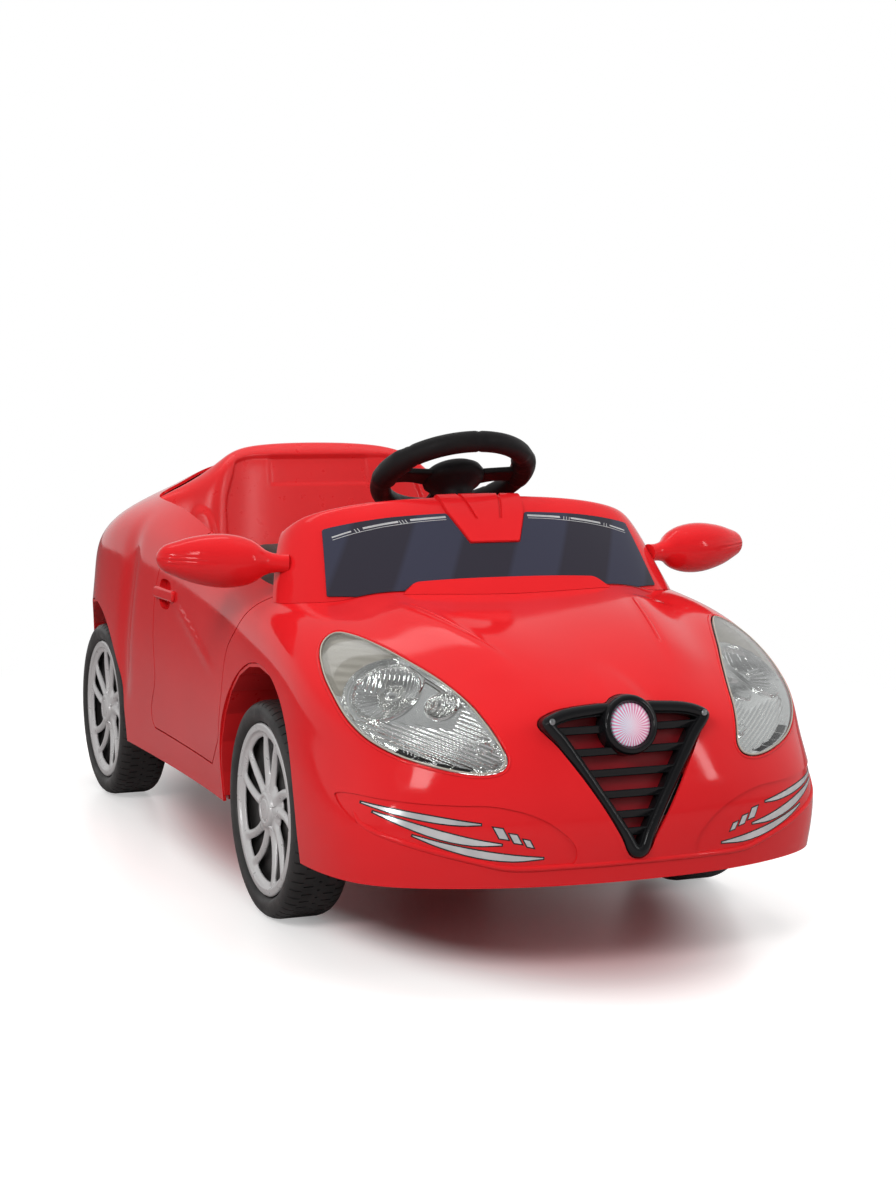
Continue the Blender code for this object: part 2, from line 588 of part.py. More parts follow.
def make_screen(mats, cage, screen):
    """The panel has a proud tab with two notches at the top of the film and a proud step below it."""
    place = frame(SCREEN_ORIGIN, X_AXIS, SCREEN_RISE)
    panel = skin("windscreen_panel", screen, -SKIN, 0.0, mats["red"])
    tab, step = TAB + mirrored(TAB[1:-1]), STEP + mirrored(STEP[1:-1])
    fuse(panel, patch("screen_tab", screen, -0.001, 0.0030, tab, 0.080, place @ at(0, 0, 0.026), 0))
    fuse(panel, patch("screen_step", screen, -0.001, 0.0080, step, 0.080, place, 0))
    for label, side in SIDES:
        notch = [(side * u, v) for u, v in NOTCH]
        cut(panel, patch(f"cut_notch_{label}", screen, 0.0010, 0.0200, notch, 0.100, place, 0))
    cut(panel, skin("cut_panel_foot", cage, -0.045, GAP, None, "cutters"))
    film = skin("windscreen_film", screen, 2 * GAP, 0.0013, mats["film"])
    blank = plate("film_blank", FILM + mirrored(FILM[1:-1]), 0.080, place, None, "cutters")
    boolean(film, as_cutter(blank), "INTERSECT")
    cut(film, skin("cut_film_foot", cage, -0.045, 0.0010, None, "cutters"))


def make_mirrors(mats, screen):
    for label, side in SIDES:
        root = Vector((0.1900 * side, -0.1900, 0.3200))
        tip = Vector((0.3090 * side, -0.1640, 0.3260))
        length = (tip - root).length
        shape = [(0.0, 1.0), (0.0080, 0.985), (0.0150, 0.90), (0.0220, 0.74), (0.0262, 0.54), (0.0250, 0.38),
                 (0.0200, 0.26), (0.0120, 0.17), (0.0095, 0.0), (0.0, 0.0)]
        profile = [(r, share * length) for r, share in shape]
        place = aimed(tip - root, root)
        housing = turned(f"mirror_housing_{label}", profile, place, mats["red"], steps=12)
        cut(housing, skin(f"cut_mirror_{label}", screen, -0.030, GAP, None, "cutters", side))
        glass_at = root.lerp(tip, 0.55) + Vector((0, 0.0150, 0.0))
        glass_place = frame(glass_at, X_AXIS, Z_AXIS)
        cut(housing, rod(f"cut_glass_{label}", 0.0400, 0.0200, glass_place @ at(0, 0, -0.0100 - 0.0010), None,
                         "cutters", 16))
        glass = arc((0.0, 0.0), 1.0, 0, 342, 19)
        plate(f"mirror_glass_{label}", [(u * 0.0300, v * 0.0165) for u, v in glass], 0.0014,
              glass_place @ at(0, 0, -0.0020), mats["mirror"])


# Cockpit
def seat_rows():
    """The seat shell's rows from the front skirt up the back, as (x scale, y, z) down the middle."""
    return [(1.0, 0.012, 0.0893), (1.0, 0.012, 0.216), (1.0, 0.100, 0.213), (1.0, 0.205, 0.213), (1.0, 0.238, 0.285),
            (0.97, 0.256, 0.365), (0.86, 0.266, 0.414), (0.86, 0.296, 0.416), (0.92, 0.304, 0.380)]


SEAT_COLUMNS = [(0.0, 0.0, 0.0), (0.100, 0.003, 0.001), (0.134, 0.030, 0.022), (0.160, 0.008, 0.012),
                (0.184, -0.010, 0.022)]
# How far each column falls below the middle at the top of the seat back
SHOULDER_DROP = [0.0, 0.003, 0.016, 0.040]
# The outer edge of the seat back, which follows the cockpit rim: (x, y, z) for the rows from the lower back up
SEAT_EDGE = {4: (0.188, 0.238, 0.290), 5: (0.189, 0.252, 0.332), 6: (0.189, 0.260, 0.352), 7: (0.189, 0.271, 0.353),
             8: (0.189, 0.273, 0.335)}


def seat_point(row, column, lift=0.0):
    if column == 4 and row in SEAT_EDGE:
        return SEAT_EDGE[row]
    scale, y, z = seat_rows()[row]
    x, forward, up = SEAT_COLUMNS[column]
    if row <= 3:
        rise = 0.0 if row == 0 else up
        return (x * scale, y, z + rise + lift)
    drop = SHOULDER_DROP[column] if row >= 6 else 0.0
    return (x * scale, y - forward - lift, z - drop + lift * 0.3)


def seat_mesh(name, rows, columns, lift):
    points = [seat_point(r, c, lift) for r in rows for c in columns]
    width = len(columns)
    faces = []
    for r in range(len(rows) - 1):
        for c in range(width - 1):
            k = r * width + c
            faces.append((k, k + 1, k + width + 1, k + width))
    return cage_mesh(name, points, faces, Vector((0, -0.5, 1.0)))


def make_seat(mats, cage):
    seat = skin("seat_shell", seat_mesh("seat_cage", range(9), range(5), 0.0), -SKIN, 0.0, mats["red_satin"])
    cut(seat, skin("cut_seat", cage, -SKIN - GAP, 0.040, None, "cutters"))
    make_pad(mats)


# The pad's middle line from its front edge back and up the seat back, as (y, z, thickness)
PAD_LINE = [(0.026, 0.2050, 0.004), (0.036, 0.2090, 0.010), (0.070, 0.2140, 0.014), (0.106, 0.2145, 0.015),
            (0.142, 0.2150, 0.014), (0.172, 0.2190, 0.012), (0.196, 0.2270, 0.007), (0.212, 0.2430, 0.011),
            (0.228, 0.2710, 0.012), (0.238, 0.2950, 0.009), (0.242, 0.3090, 0.004)]
PAD_SHARES = [-1.0, -0.80, 0.0, 0.80, 1.0]
PAD_CROWN = [0.25, 0.80, 1.06, 0.80, 0.25]
PAD_HALF_WIDTH = 0.106


def make_pad(mats):
    """A crowned cushion with drawn-in sides and a channel where the base turns up into the back."""
    count, width = len(PAD_LINE), len(PAD_SHARES)
    points = []
    for lifted in (False, True):
        for i, (y, z, thick) in enumerate(PAD_LINE):
            before, after = PAD_LINE[max(i - 1, 0)], PAD_LINE[min(i + 1, count - 1)]
            normal = Vector((0, before[1] - after[1], after[0] - before[0])).normalized()
            half = PAD_HALF_WIDTH - 0.004 * sin(pi * i / (count - 1))
            for share, crown in zip(PAD_SHARES, PAD_CROWN):
                rise = thick * crown if lifted else -0.0046
                points.append(Vector((share * half, y, z)) + normal * rise)
    faces = []
    for i in range(count - 1):
        for j in range(width - 1):
            k = i * width + j
            ring = (k, k + 1, k + width + 1, k + width)
            faces.append(ring)
            faces.append(tuple(v + count * width for v in reversed(ring)))
    rim = list(range(width)) + [i * width + width - 1 for i in range(1, count)]
    rim += [(count - 1) * width + j for j in range(width - 2, -1, -1)] + [i * width for i in range(count - 2, 0, -1)]
    for a, b in zip(rim, rim[1:] + rim[:1]):
        faces.append((b, a, a + count * width, b + count * width))
    mesh = bpy.data.meshes.new("pad_cage")
    mesh.from_pydata(points, [], faces)
    bm = bmesh.new()
    bm.from_mesh(mesh)
    bmesh.ops.recalc_face_normals(bm, faces=bm.faces)
    bm.to_mesh(mesh)
    bm.free()
    pad = link("seat_pad", mesh, Matrix.Identity(4), mats["pad"])
    sub = pad.modifiers.new("Subdivision", "SUBSURF")
    sub.levels = sub.render_levels = 1
    cut(pad, skin("cut_pad", seat_mesh("under_pad", range(9), range(5), 0.0), -0.020, 2 * GAP, None, "cutters"))


def make_dashboard(mats, cage, screen):
    outline = [(-0.1830, 0.3560), (-0.1640, 0.3560), (-0.1480, 0.3480), (-0.1250, 0.3330), (-0.1080, 0.3130),
               (-0.1120, 0.2820), (-0.1350, 0.2600), (-0.1760, 0.2560)]
    dash = plate("dashboard", outline, 0.290, side_frame(0), mats["red_satin"])
    soften(dash, 0.004, 1)
    hollow = [(u - 0.020, v) if u < -0.170 else (u, v) for u, v in grow(outline, -0.0035)]
    cut(dash, plate("cut_dash_inside", hollow, 0.282, side_frame(0), None, "cutters"))
    # Its open front edge lies against the back of the screen panel and under the hood
    behind = skin("cut_dash_screen", screen, -0.040, GAP, None, "cutters")
    behind.location = (0, 2 * GAP, -2 * GAP)
    cut(dash, behind)
    cut(dash, skin("cut_dash_hood", cage, -SKIN - GAP, 0.020, None, "cutters"))
    bore = aimed(STEER_AXIS, WHEEL_CENTRE - STEER_AXIS * 0.110)
    cut(dash, rod("cut_column_bore", 0.0085, 0.200, bore, None, "cutters", 16))
    face = frame((0, -0.1165, 0.3230), -X_AXIS, Vector((0, -0.648, 0.762)))
    for name, x in (("direction_switch", -0.078), ("power_switch", 0.078)):
        spot = face @ at(x, 0, 0)
        cut(dash, box(f"cut_{name}", (0.0150, 0.0210, 0.0200), spot, None, "cutters"))
        rocker = box(name, (0.0130, 0.0190, 0.0080), spot @ at(0, 0, 0.0010), mats["black_gloss"], bevel=0.0012)
        pivot(f"{name}_pivot", spot, rocker)
    for k, x in enumerate((0.112, -0.112)):
        spot = face @ at(x, 0, 0)
        cut(dash, rod(f"cut_button_{k}", 0.0068, 0.0200, spot, None, "cutters", 16))
        profile = [(0.0, 0.0040), (0.0045, 0.0036), (0.0060, 0.0020), (0.0060, -0.0060), (0.0, -0.0060)]
        turned(f"music_button_{k + 1}", profile, spot, mats["black_gloss"], steps=12)
    socket_at = aimed(Vector((0, 0.691, -0.723)), (0.100, -0.1235, 0.2710))
    profile = [(0.0, 0.0030), (0.0040, 0.0030), (0.0040, 0.0055), (0.0085, 0.0055), (0.0085, 0.0010), (0.0060, 0.0008),
               (0.0060, -0.0080), (0.0, -0.0080)]
    cut(dash, rod("cut_socket", 0.0064, 0.0300, socket_at @ at(0, 0, -0.004), None, "cutters", 16))
    turned("charging_socket", profile, socket_at @ at(0, 0, 0.0008), mats["black"], steps=12)
    return dash


# Chassis and running gear
def make_chassis(mats, cage):
    half = [(0.0, -0.470), (0.085, -0.460), (0.120, -0.400), (0.120, -0.1150), (0.2235, -0.1120), (0.2243, 0.0),
            (0.2235, 0.2230), (0.1650, 0.2260), (0.1650, 0.470), (0.130, 0.500), (0.0, 0.508)]
    outline = half + mirrored(half[1:-1])
    tub = plate("chassis_tub", outline, 0.100, at(0, 0, 0.1340), mats["red_satin"])
    cut(tub, plate("cut_tub_inside", grow(outline, -0.004), 0.100, at(0, 0, 0.1390), None, "cutters"))
    cut(tub, box("cut_tub_front", (0.50, 0.360, 0.20), at(0, -0.295, 0.1930), None, "cutters"))
    beam_rest = box("beam_rest", (0.200, 0.014, 0.0092), at(0, FRONT_AXLE_Y, 0.0886), None, "cutters")
    fuse(tub, beam_rest)
    for x in (-0.1080, -0.0420):
        fuse(tub, box(f"pedal_lug_{x}", (0.0040, 0.0160, 0.0190), at(x, PEDAL_PIVOT.y, 0.0975), None, "cutters"))
    cut(tub, rod("cut_pedal_lugs", 0.0055, 0.0800, aimed(X_AXIS, PEDAL_PIVOT), None, "cutters", 12))
    # Two lugs on each sill seat against the inside of the body
    for y in (-0.0700, 0.1800):
        fuse(tub, box(f"sill_lug_{y}", (0.4900, 0.0200, 0.0080), at(0, y, 0.0905), None, "cutters"))
    cut(tub, rod("cut_axle_holes", 0.0056, 0.400, aimed(X_AXIS, (0, REAR_AXLE_Y, WHEEL_R)), None, "cutters", 12))
    cut(tub, skin("cut_tub_sides", cage, -SKIN - GAP, 0.040, None, "cutters"))
    for (label, axle), (radius, height) in zip(AXLES, (FRONT_ARCH, REAR_ARCH)):
        outer = arch(radius - GAP, height)
        for name, side in SIDES:
            depth = 0.060 if label == "rear" else 0.094
            middle = 0.2340 - depth / 2
            liner = plate(f"wheel_arch_{label}_{name}", outer, depth, side_frame(side * middle, axle), mats["red_satin"])
            inner = [(u, v) if v > 0.05 else (u, 0.0) for u, v in arch(radius - 0.0033, height)]
            cut(liner, plate(f"cut_liner_{label}_{name}", inner, 0.20, side_frame(side * middle, axle), None, "cutters"))
            cut(liner, box(f"cut_liner_foot_{label}_{name}", (0.3, 0.5, 0.1), at(side * middle, axle, 0.0400), None,
                           "cutters"))
            cut(liner, skin(f"cut_liner_side_{label}_{name}", cage, -0.0010, 0.040, None, "cutters", side))
    return tub


def make_front_axle(mats):
    # Seen from the front the beam is a bar with a fork at each end
    half = [(0.0, 0.0065), (0.1460, 0.0065), (0.1460, 0.0170), (0.1730, 0.0170), (0.1730, 0.0140), (0.1500, 0.0140),
            (0.1500, -0.0140), (0.1730, -0.0140), (0.1730, -0.0170), (0.1460, -0.0170), (0.1460, -0.0065),
            (0.0, -0.0065)]
    beam = plate("front_axle_beam", half + mirrored(half[1:-1]), 0.0130,
                 frame((0, FRONT_AXLE_Y, 0.1000), X_AXIS, Z_AXIS), mats["steel"])
    for side in (1, -1):
        x = side * KING_PIN_X
        fuse(beam, rod(f"king_pin_{side}", 0.0035, 0.038, at(x, FRONT_AXLE_Y, 0.1000), None, "cutters", 8),
             solver="MANIFOLD")
    for label, side in SIDES:
        x = side * KING_PIN_X
        knuckle = box(f"knuckle_{label}", (0.0160, 0.0150, 0.0260), at(x, FRONT_AXLE_Y, 0.1000), mats["black"])
        arm = box(f"steer_arm_{label}", (0.0100, KNUCKLE_ARM, 0.0050),
                  at(x, FRONT_AXLE_Y - KNUCKLE_ARM / 2 - 0.005, 0.1000), None, "cutters")
        stub = rod(f"stub_{label}", 0.0050, 0.0430, aimed(X_AXIS, (side * 0.1935, FRONT_AXLE_Y, WHEEL_R)), None,
                   "cutters", 10)
        pin = rod(f"arm_pin_{label}", 0.0030, 0.0180, at(x, FRONT_AXLE_Y - KNUCKLE_ARM, 0.1080), None, "cutters", 8)
        fuse(knuckle, arm, stub, pin)
        cut(knuckle, rod(f"king_bore_{label}", 0.0041, 0.0400, at(x, FRONT_AXLE_Y, 0.1000), None, "cutters", 8))
    rod("rear_axle", 0.0050, 0.4300, aimed(X_AXIS, (0, REAR_AXLE_Y, WHEEL_R)), mats["steel"])


def make_steering(mats):
    arm_y = FRONT_AXLE_Y - KNUCKLE_ARM
    rod_bar = box("tie_rod", (0.3560, 0.0180, 0.0040), at(0, arm_y, 0.1120), mats["steel"])
    foot = STEER_AXIS * -0.2905 + WHEEL_CENTRE
    crank_pin = foot + STEER_UP * CRANK_ARM
    lug_at = frame(crank_pin - STEER_AXIS * 0.0080, -X_AXIS, STEER_UP)
    fuse(rod_bar, box("tie_web", (0.0240, 0.0040, 0.0260), at(0, -0.2735, 0.1230), None, "cutters"))
    fuse(rod_bar, box("tie_lug", (0.0240, 0.0440, 0.0030), lug_at @ at(0, -0.0100, 0), None, "cutters"))
    cut(rod_bar, box("cut_crank_slot", (0.0098, 0.0150, 0.0200), lug_at @ at(0, -0.0026, 0), None, "cutters"))
    for side in (1, -1):
        slot = box(f"cut_tie_slot_{side}", (0.0078, 0.0106, 0.0200), at(side * KING_PIN_X, arm_y + 0.0015, 0.1120),
                   None, "cutters")
        cut(rod_bar, slot)
    length = 0.2905 - 0.0060
    column = rod("steering_column", 0.0060, length, aimed(STEER_AXIS, foot + STEER_AXIS * length / 2), mats["steel"])
    crank = box("crank_arm", (0.0110, CRANK_ARM + 0.010, 0.0040),
                frame(foot + STEER_UP * CRANK_ARM / 2 + STEER_AXIS * 0.0020, -X_AXIS, STEER_UP), None, "cutters")
    pin = rod("crank_pin", 0.0030, 0.0160, aimed(STEER_AXIS, crank_pin - STEER_AXIS * 0.0060), None, "cutters", 10)
    fuse(column, crank, pin)
    bush_at = WHEEL_CENTRE - STEER_AXIS * 0.2180
    bracket = box("column_bracket", (0.0300, 0.0050, 0.1179), at(0, -0.2200, 0.14825), mats["steel"])
    bush = rod("bush", 0.0125, 0.0160, aimed(STEER_AXIS, bush_at), None, "cutters", 16)
    neck = box("bush_neck", (0.0120, 0.0220, 0.0120), at(0, -0.2290, bush_at.z - 0.0080), None, "cutters")
    fuse(bracket, neck, bush)
    cut(bracket, rod("cut_bush", 0.0066, 0.0600, aimed(STEER_AXIS, bush_at), None, "cutters", 12))
    ring = arc((0.0723, 0.0), 0.0103, 0, 300, 5)
    wheel = turned("steering_wheel", list(reversed(ring)), frame(WHEEL_CENTRE, -X_AXIS, STEER_UP), mats["black"],
                   steps=24, closed=True)
    place = frame(WHEEL_CENTRE, -X_AXIS, STEER_UP)
    hub = [(0.0, 0.0060), (0.0240, 0.0050), (0.0310, 0.0), (0.0310, -0.0060), (0.0220, -0.0120), (0.0140, -0.0300),
           (0.0, -0.0300)]
    fuse(wheel, turned("hub", hub, place, None, "cutters", 14))
    for k, angle in enumerate((8, 172, 270)):
        spoke = box(f"spoke_{k}", (0.0480, 0.0200, 0.0070),
                    place @ Matrix.Rotation(radians(angle), 4, "Z") @ at(0.0480, 0, -0.0020), None, "cutters")
        fuse(wheel, spoke)
    cut(wheel, rod("cut_horn", 0.0198, 0.0100, place @ at(0, 0, 0.0060), None, "cutters", 16))
    cut(wheel, rod("cut_column", 0.0063, 0.0270, place @ at(0, 0, -0.0190), None, "cutters", 12))
    cap = [(0.0, 0.0105), (0.0100, 0.0095), (0.0170, 0.0065), (0.0190, 0.0035), (0.0190, 0.0022), (0.0, 0.0022)]
    horn = turned("horn_button", cap, place @ at(0, 0, 0.0014), mats["red"], steps=16)
    pivot("steering_axis", place, wheel, column, horn)


def make_wheels(mats):
    tyre = [(0.0815, 0.0255), (0.0935, 0.0280), (0.1000, 0.0180), (0.1000, -0.0180), (0.0935, -0.0280),
            (0.0760, -0.0250), (0.0740, 0.0060), (0.0200, 0.0060), (0.0160, -0.0220), (0.0056, -0.0220),
            (0.0056, 0.0130), (0.0740, 0.0140)]
    cover = [(0.0, 0.0235), (0.0190, 0.0222), (0.0250, 0.0195), (0.0680, 0.0225), (0.0740, 0.0262), (0.0785, 0.0246),
             (0.0720, 0.0154), (0.0, 0.0146)]
    for end, axle in AXLES:
        for label, side in SIDES:
            turn = Matrix.Rotation(side * pi / 2, 4, "Y")
            place = at(side * WHEEL_X, axle, WHEEL_R) @ turn
            ring = turned(f"tyre_{end}_{label}", tyre, place, mats["black"], steps=16, closed=True)
            rim = turned(f"wheel_cover_{end}_{label}", cover, place, mats["silver"], steps=15)
            cut(rim, windows(f"cut_windows_{end}_{label}", place))
            pivot(f"wheel_centre_{end}_{label}", place, ring, rim)


def windows(name, placement):
    """Ten openings in a wheel cover, in pairs that leave five double spokes."""
    bm = bmesh.new()
    for k in range(5):
        for start, end, low in ((2.0, 22.0, 0.036), (32.0, 64.0, 0.030)):
            middle = (start + end) / 2
            corners = []
            for angle, radius in ((start, 0.0675), (end, 0.0675), (middle + 3.5, low), (middle - 3.5, low)):
                a = radians(angle + 72 * k)
                corners.append(bm.verts.new((radius * cos(a), radius * sin(a), 0.020)))
            bm.faces.new(corners)
    bmesh.ops.recalc_face_normals(bm, faces=bm.faces)
    obj = link(name, mesh_from(name, bm), placement, None, "cutters")
    solid = obj.modifiers.new("Solidify", "SOLIDIFY")
    solid.thickness = 0.030
    solid.offset = 0.0
    return obj


def make_drive(mats):
    outline = [(-0.036, -0.0227), (0.030, -0.0227), (0.040, -0.010), (0.036, 0.050), (0.010, 0.062), (-0.030, 0.056),
               (-0.040, 0.010)]
    gear = plate("gearbox_housing", outline, 0.0400, side_frame(-0.1380, REAR_AXLE_Y, WHEEL_R + 0.012), mats["black"])
    soften(gear, 0.003)
    cut(gear, rod("cut_gear_bore", 0.0056, 0.0800, aimed(X_AXIS, (-0.138, REAR_AXLE_Y, WHEEL_R)), None, "cutters"))
    motor = [(0.0, 0.0300), (0.0165, 0.0290), (0.0175, 0.0270), (0.0175, -0.0240), (0.0, -0.0240)]
    turned("drive_motor", motor, aimed(X_AXIS, (-0.0937, REAR_AXLE_Y, 0.1500)), mats["steel"], steps=14)
    box("battery", (0.0700, 0.0470, 0.0950), at(0.040, 0.100, 0.1368), mats["black"], bevel=0.002)
    strap = box("battery_strap", (0.0780, 0.0200, 0.1000), at(0.040, 0.100, 0.1393), mats["black_gloss"])
    cut(strap, box("cut_strap", (0.0706, 0.0600, 0.1003), at(0.040, 0.100, 0.1345), None, "cutters"))
    place = frame((-0.075, -0.1150, 0.1125), X_AXIS, (0, -0.883, 0.469))
    pedal = box("accelerator_pedal", (0.0500, 0.0760, 0.0060), place, mats["black"], bevel=0.0015)
    fuse(pedal, rod("pedal_pin", 0.0050, 0.0700, aimed(X_AXIS, PEDAL_PIVOT), None, "cutters", 12))
    pivot("pedal_pivot", aimed(X_AXIS, PEDAL_PIVOT), pedal)


def main():
    clear_scene()
    mats = make_materials()
    points, faces = body_cage()
    cage = cage_mesh("body_cage", points, faces, Vector((0, 0, 1)))
    points, faces = screen_cage()
    screen = cage_mesh("screen_cage", points, faces, Vector((0, -1, 1)))
    make_body(mats, cage)
    make_doors(mats, cage)
    make_lights(mats, cage)
    make_grille(mats)
    make_screen(mats, cage, screen)
    make_mirrors(mats, screen)
    make_seat(mats, cage)
    make_dashboard(mats, cage, screen)
    make_chassis(mats, cage)
    make_front_axle(mats)
    make_steering(mats)
    make_wheels(mats)
    make_drive(mats)


main()
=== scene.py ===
# Child's battery ride-on car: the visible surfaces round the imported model.
# Metres, +Z up, nose towards -Y, the driver's left at +X, ground at Z = 0.
from contextlib import contextmanager
from math import cos, hypot, pi, radians, sin, sqrt

import bmesh
import bpy
import numpy as np
from mathutils import Matrix, Vector
from mathutils.bvhtree import BVHTree


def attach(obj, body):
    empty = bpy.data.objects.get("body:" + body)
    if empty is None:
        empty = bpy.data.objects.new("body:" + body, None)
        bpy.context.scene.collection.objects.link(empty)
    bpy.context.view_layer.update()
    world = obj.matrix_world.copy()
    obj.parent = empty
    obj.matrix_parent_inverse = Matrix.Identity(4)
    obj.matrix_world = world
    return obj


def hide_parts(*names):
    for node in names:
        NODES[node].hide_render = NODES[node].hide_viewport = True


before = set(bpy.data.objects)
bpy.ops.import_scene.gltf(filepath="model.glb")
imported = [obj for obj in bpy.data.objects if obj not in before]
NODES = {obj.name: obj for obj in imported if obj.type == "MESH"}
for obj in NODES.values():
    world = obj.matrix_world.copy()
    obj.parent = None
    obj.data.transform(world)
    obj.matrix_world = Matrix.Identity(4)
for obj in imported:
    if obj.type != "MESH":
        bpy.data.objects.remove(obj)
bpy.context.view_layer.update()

X_AXIS = Vector((1, 0, 0))
Y_AXIS = Vector((0, 1, 0))
Z_AXIS = Vector((0, 0, 1))
SKIN = 0.003
GAP = 0.0003
DOOR_GAP = 0.0016
WHEEL_X = 0.2055
WHEEL_R = 0.100
FRONT_AXLE_Y = -0.240
REAR_AXLE_Y = 0.358
SIDE_PLANE_X = 0.235
NOSE_PLANE_Y = -0.480
WHEEL_CENTRE = Vector((0.0, -0.133, 0.3965))
STEER_UP = Vector((0.0, -0.8660254, 0.5))
SIDES = (("left", 1), ("right", -1))
AXLES = (("front", FRONT_AXLE_Y), ("rear", REAR_AXLE_Y))


# Materials
class Graph:
    """A node tree whose nodes are made and fed in one call each."""

    def __init__(self, tree):
        self.tree = tree

    def feed(self, value, socket):
        """Joins a node or an output to the socket, or sets the socket to a plain value."""
        if isinstance(value, bpy.types.Node):
            value = value.outputs[0]
        if isinstance(value, bpy.types.NodeSocket):
            self.tree.links.new(value, socket)
        else:
            socket.default_value = value

    def node(self, kind, *fed, **values):
        """A new node. Named values go to its sockets or settings, the others to its inputs in order."""
        made = self.tree.nodes.new("ShaderNode" + kind)
        for key, value in values.items():
            socket = key.replace("_", " ")
            if socket in made.inputs:
                self.feed(value, made.inputs[socket])
            else:
                setattr(made, key, value)
        for value, socket in zip(fed, made.inputs):
            self.feed(value, socket)
        return made

    def maths(self, operation, a, b):
        return self.node("Math", a, b, operation=operation)

    def ramp(self, value, low, high, start, end, curve="LINEAR"):
        """A value that goes from low to high while the given one goes from start to end."""
        return self.node("MapRange", value, From_Min=start, From_Max=end, To_Min=low, To_Max=high,
                         interpolation_type=curve)

    def length(self, vector):
        return self.node("VectorMath", vector, operation="LENGTH").outputs["Value"]

    def mix(self, share, a, b):
        """A colour between a and b."""
        made = self.node("Mix", share, data_type="RGBA")
        self.feed(a, made.inputs[6])
        self.feed(b, made.inputs[7])
        return made.outputs[2]


class Paint(Graph):
    """A Principled material built up from textures in object space."""

    def __init__(self, name, colour, roughness, metallic=0.0, **sockets):
        self.made = bpy.data.materials.new(name)
        self.made.use_nodes = True
        super().__init__(self.made.node_tree)
        self.shader = self.tree.nodes["Principled BSDF"]
        self.colour = (*colour, 1.0)
        self.made.diffuse_color = self.colour
        self.set(Base_Color=self.colour, Roughness=roughness, Metallic=metallic, **sockets)
        self.spot = self.node("TexCoord").outputs["Object"]
        self.normal = None

    def set(self, **sockets):
        for key, value in sockets.items():
            self.feed(value, self.shader.inputs[key.replace("_", " ")])

    def noise(self, scale, detail=3.0, stretch=None):
        spot = self.node("Mapping", self.spot, Scale=stretch) if stretch else self.spot
        return self.node("TexNoise", spot, Scale=scale, Detail=detail)

    def mottle(self, source, other, low=0.3, high=0.7):
        """Mixes the base colour towards another where the source is high."""
        share = self.ramp(source, 0.0, 1.0, low, high)
        self.set(Base_Color=self.mix(share, self.colour, (*other, 1.0)))

    def vary_roughness(self, source, low, high):
        self.set(Roughness=self.ramp(source, low, high, 0.3, 0.7))

    def bump(self, height, distance, strength):
        """Adds a layer of bump over the ones before it."""
        made = self.node("Bump", Height=height, Distance=distance, Strength=strength)
        if self.normal:
            self.feed(self.normal, made.inputs["Normal"])
        self.normal = made
        self.set(Normal=made)


def paint(name, colour, roughness, metallic=0.0, spots=None, gloss=None, bumps=(), **sockets):
    """A paint with noise of (scale, detail) for its spots, its roughness and its bumps. A bump with one
    number in place of a noise has cells of that scale."""
    made = Paint(name, colour, roughness, metallic, **sockets)
    if spots:
        made.mottle(made.noise(*spots[0]), *spots[1:])
    if gloss:
        made.vary_roughness(made.noise(*gloss[0]), *gloss[1:])
    for texture, distance, strength in bumps:
        if isinstance(texture, tuple):
            height = made.noise(*texture)
        else:
            height = made.node("TexVoronoi", made.spot, Scale=texture)
        made.bump(height, distance, strength)
    return made.made


def film_material():
    """Dark screen print with broad slanting bands a little lighter than the ground."""
    film = Paint("dark_screen_film", (0.031, 0.029, 0.041), 0.10, Specular_IOR_Level=0.30)
    slant = film.node("Mapping", film.spot, Rotation=(0.0, radians(-32), 0.0))
    bands = film.node("TexWave", slant, Scale=3.4, Distortion=0.0, bands_direction="X")
    film.mottle(bands.outputs[1], (0.041, 0.043, 0.068), 0.46, 0.62)
    film.bump(film.noise(30.0, 2.0), 0.0003, 0.2)
    return film.made


def badge_material():
    """A plain printed disc: fine pink rays that fade into a pale middle, bluish on one side."""
    rays = 36.0
    badge = Paint("badge_print", (0.93, 0.88, 0.91), 0.22, Specular_IOR_Level=0.3)
    centre = badge.node("Mapping", badge.spot, Location=(0.0, 0.5076, -0.2087))
    split = badge.node("SeparateXYZ", centre).outputs
    turns = badge.maths("MULTIPLY", badge.maths("ARCTAN2", split["Z"], split["X"]), rays)
    ray = badge.ramp(badge.node("Math", turns, operation="SINE"), 0.0, 1.0, -0.25, 0.25)
    outer = badge.ramp(badge.length(centre), 0.0, 1.0, 0.0060, 0.0150)
    side = badge.ramp(split["X"], 0.0, 1.0, -0.008, 0.006)
    ground = badge.mix(side, (0.66, 0.84, 0.93, 1.0), (0.93, 0.72, 0.82, 1.0))
    badge.set(Base_Color=badge.mix(badge.maths("MULTIPLY", ray, outer), ground, (0.80, 0.26, 0.46, 1.0)))
    badge.vary_roughness(badge.noise(120.0, 3.0), 0.18, 0.28)
    return badge.made


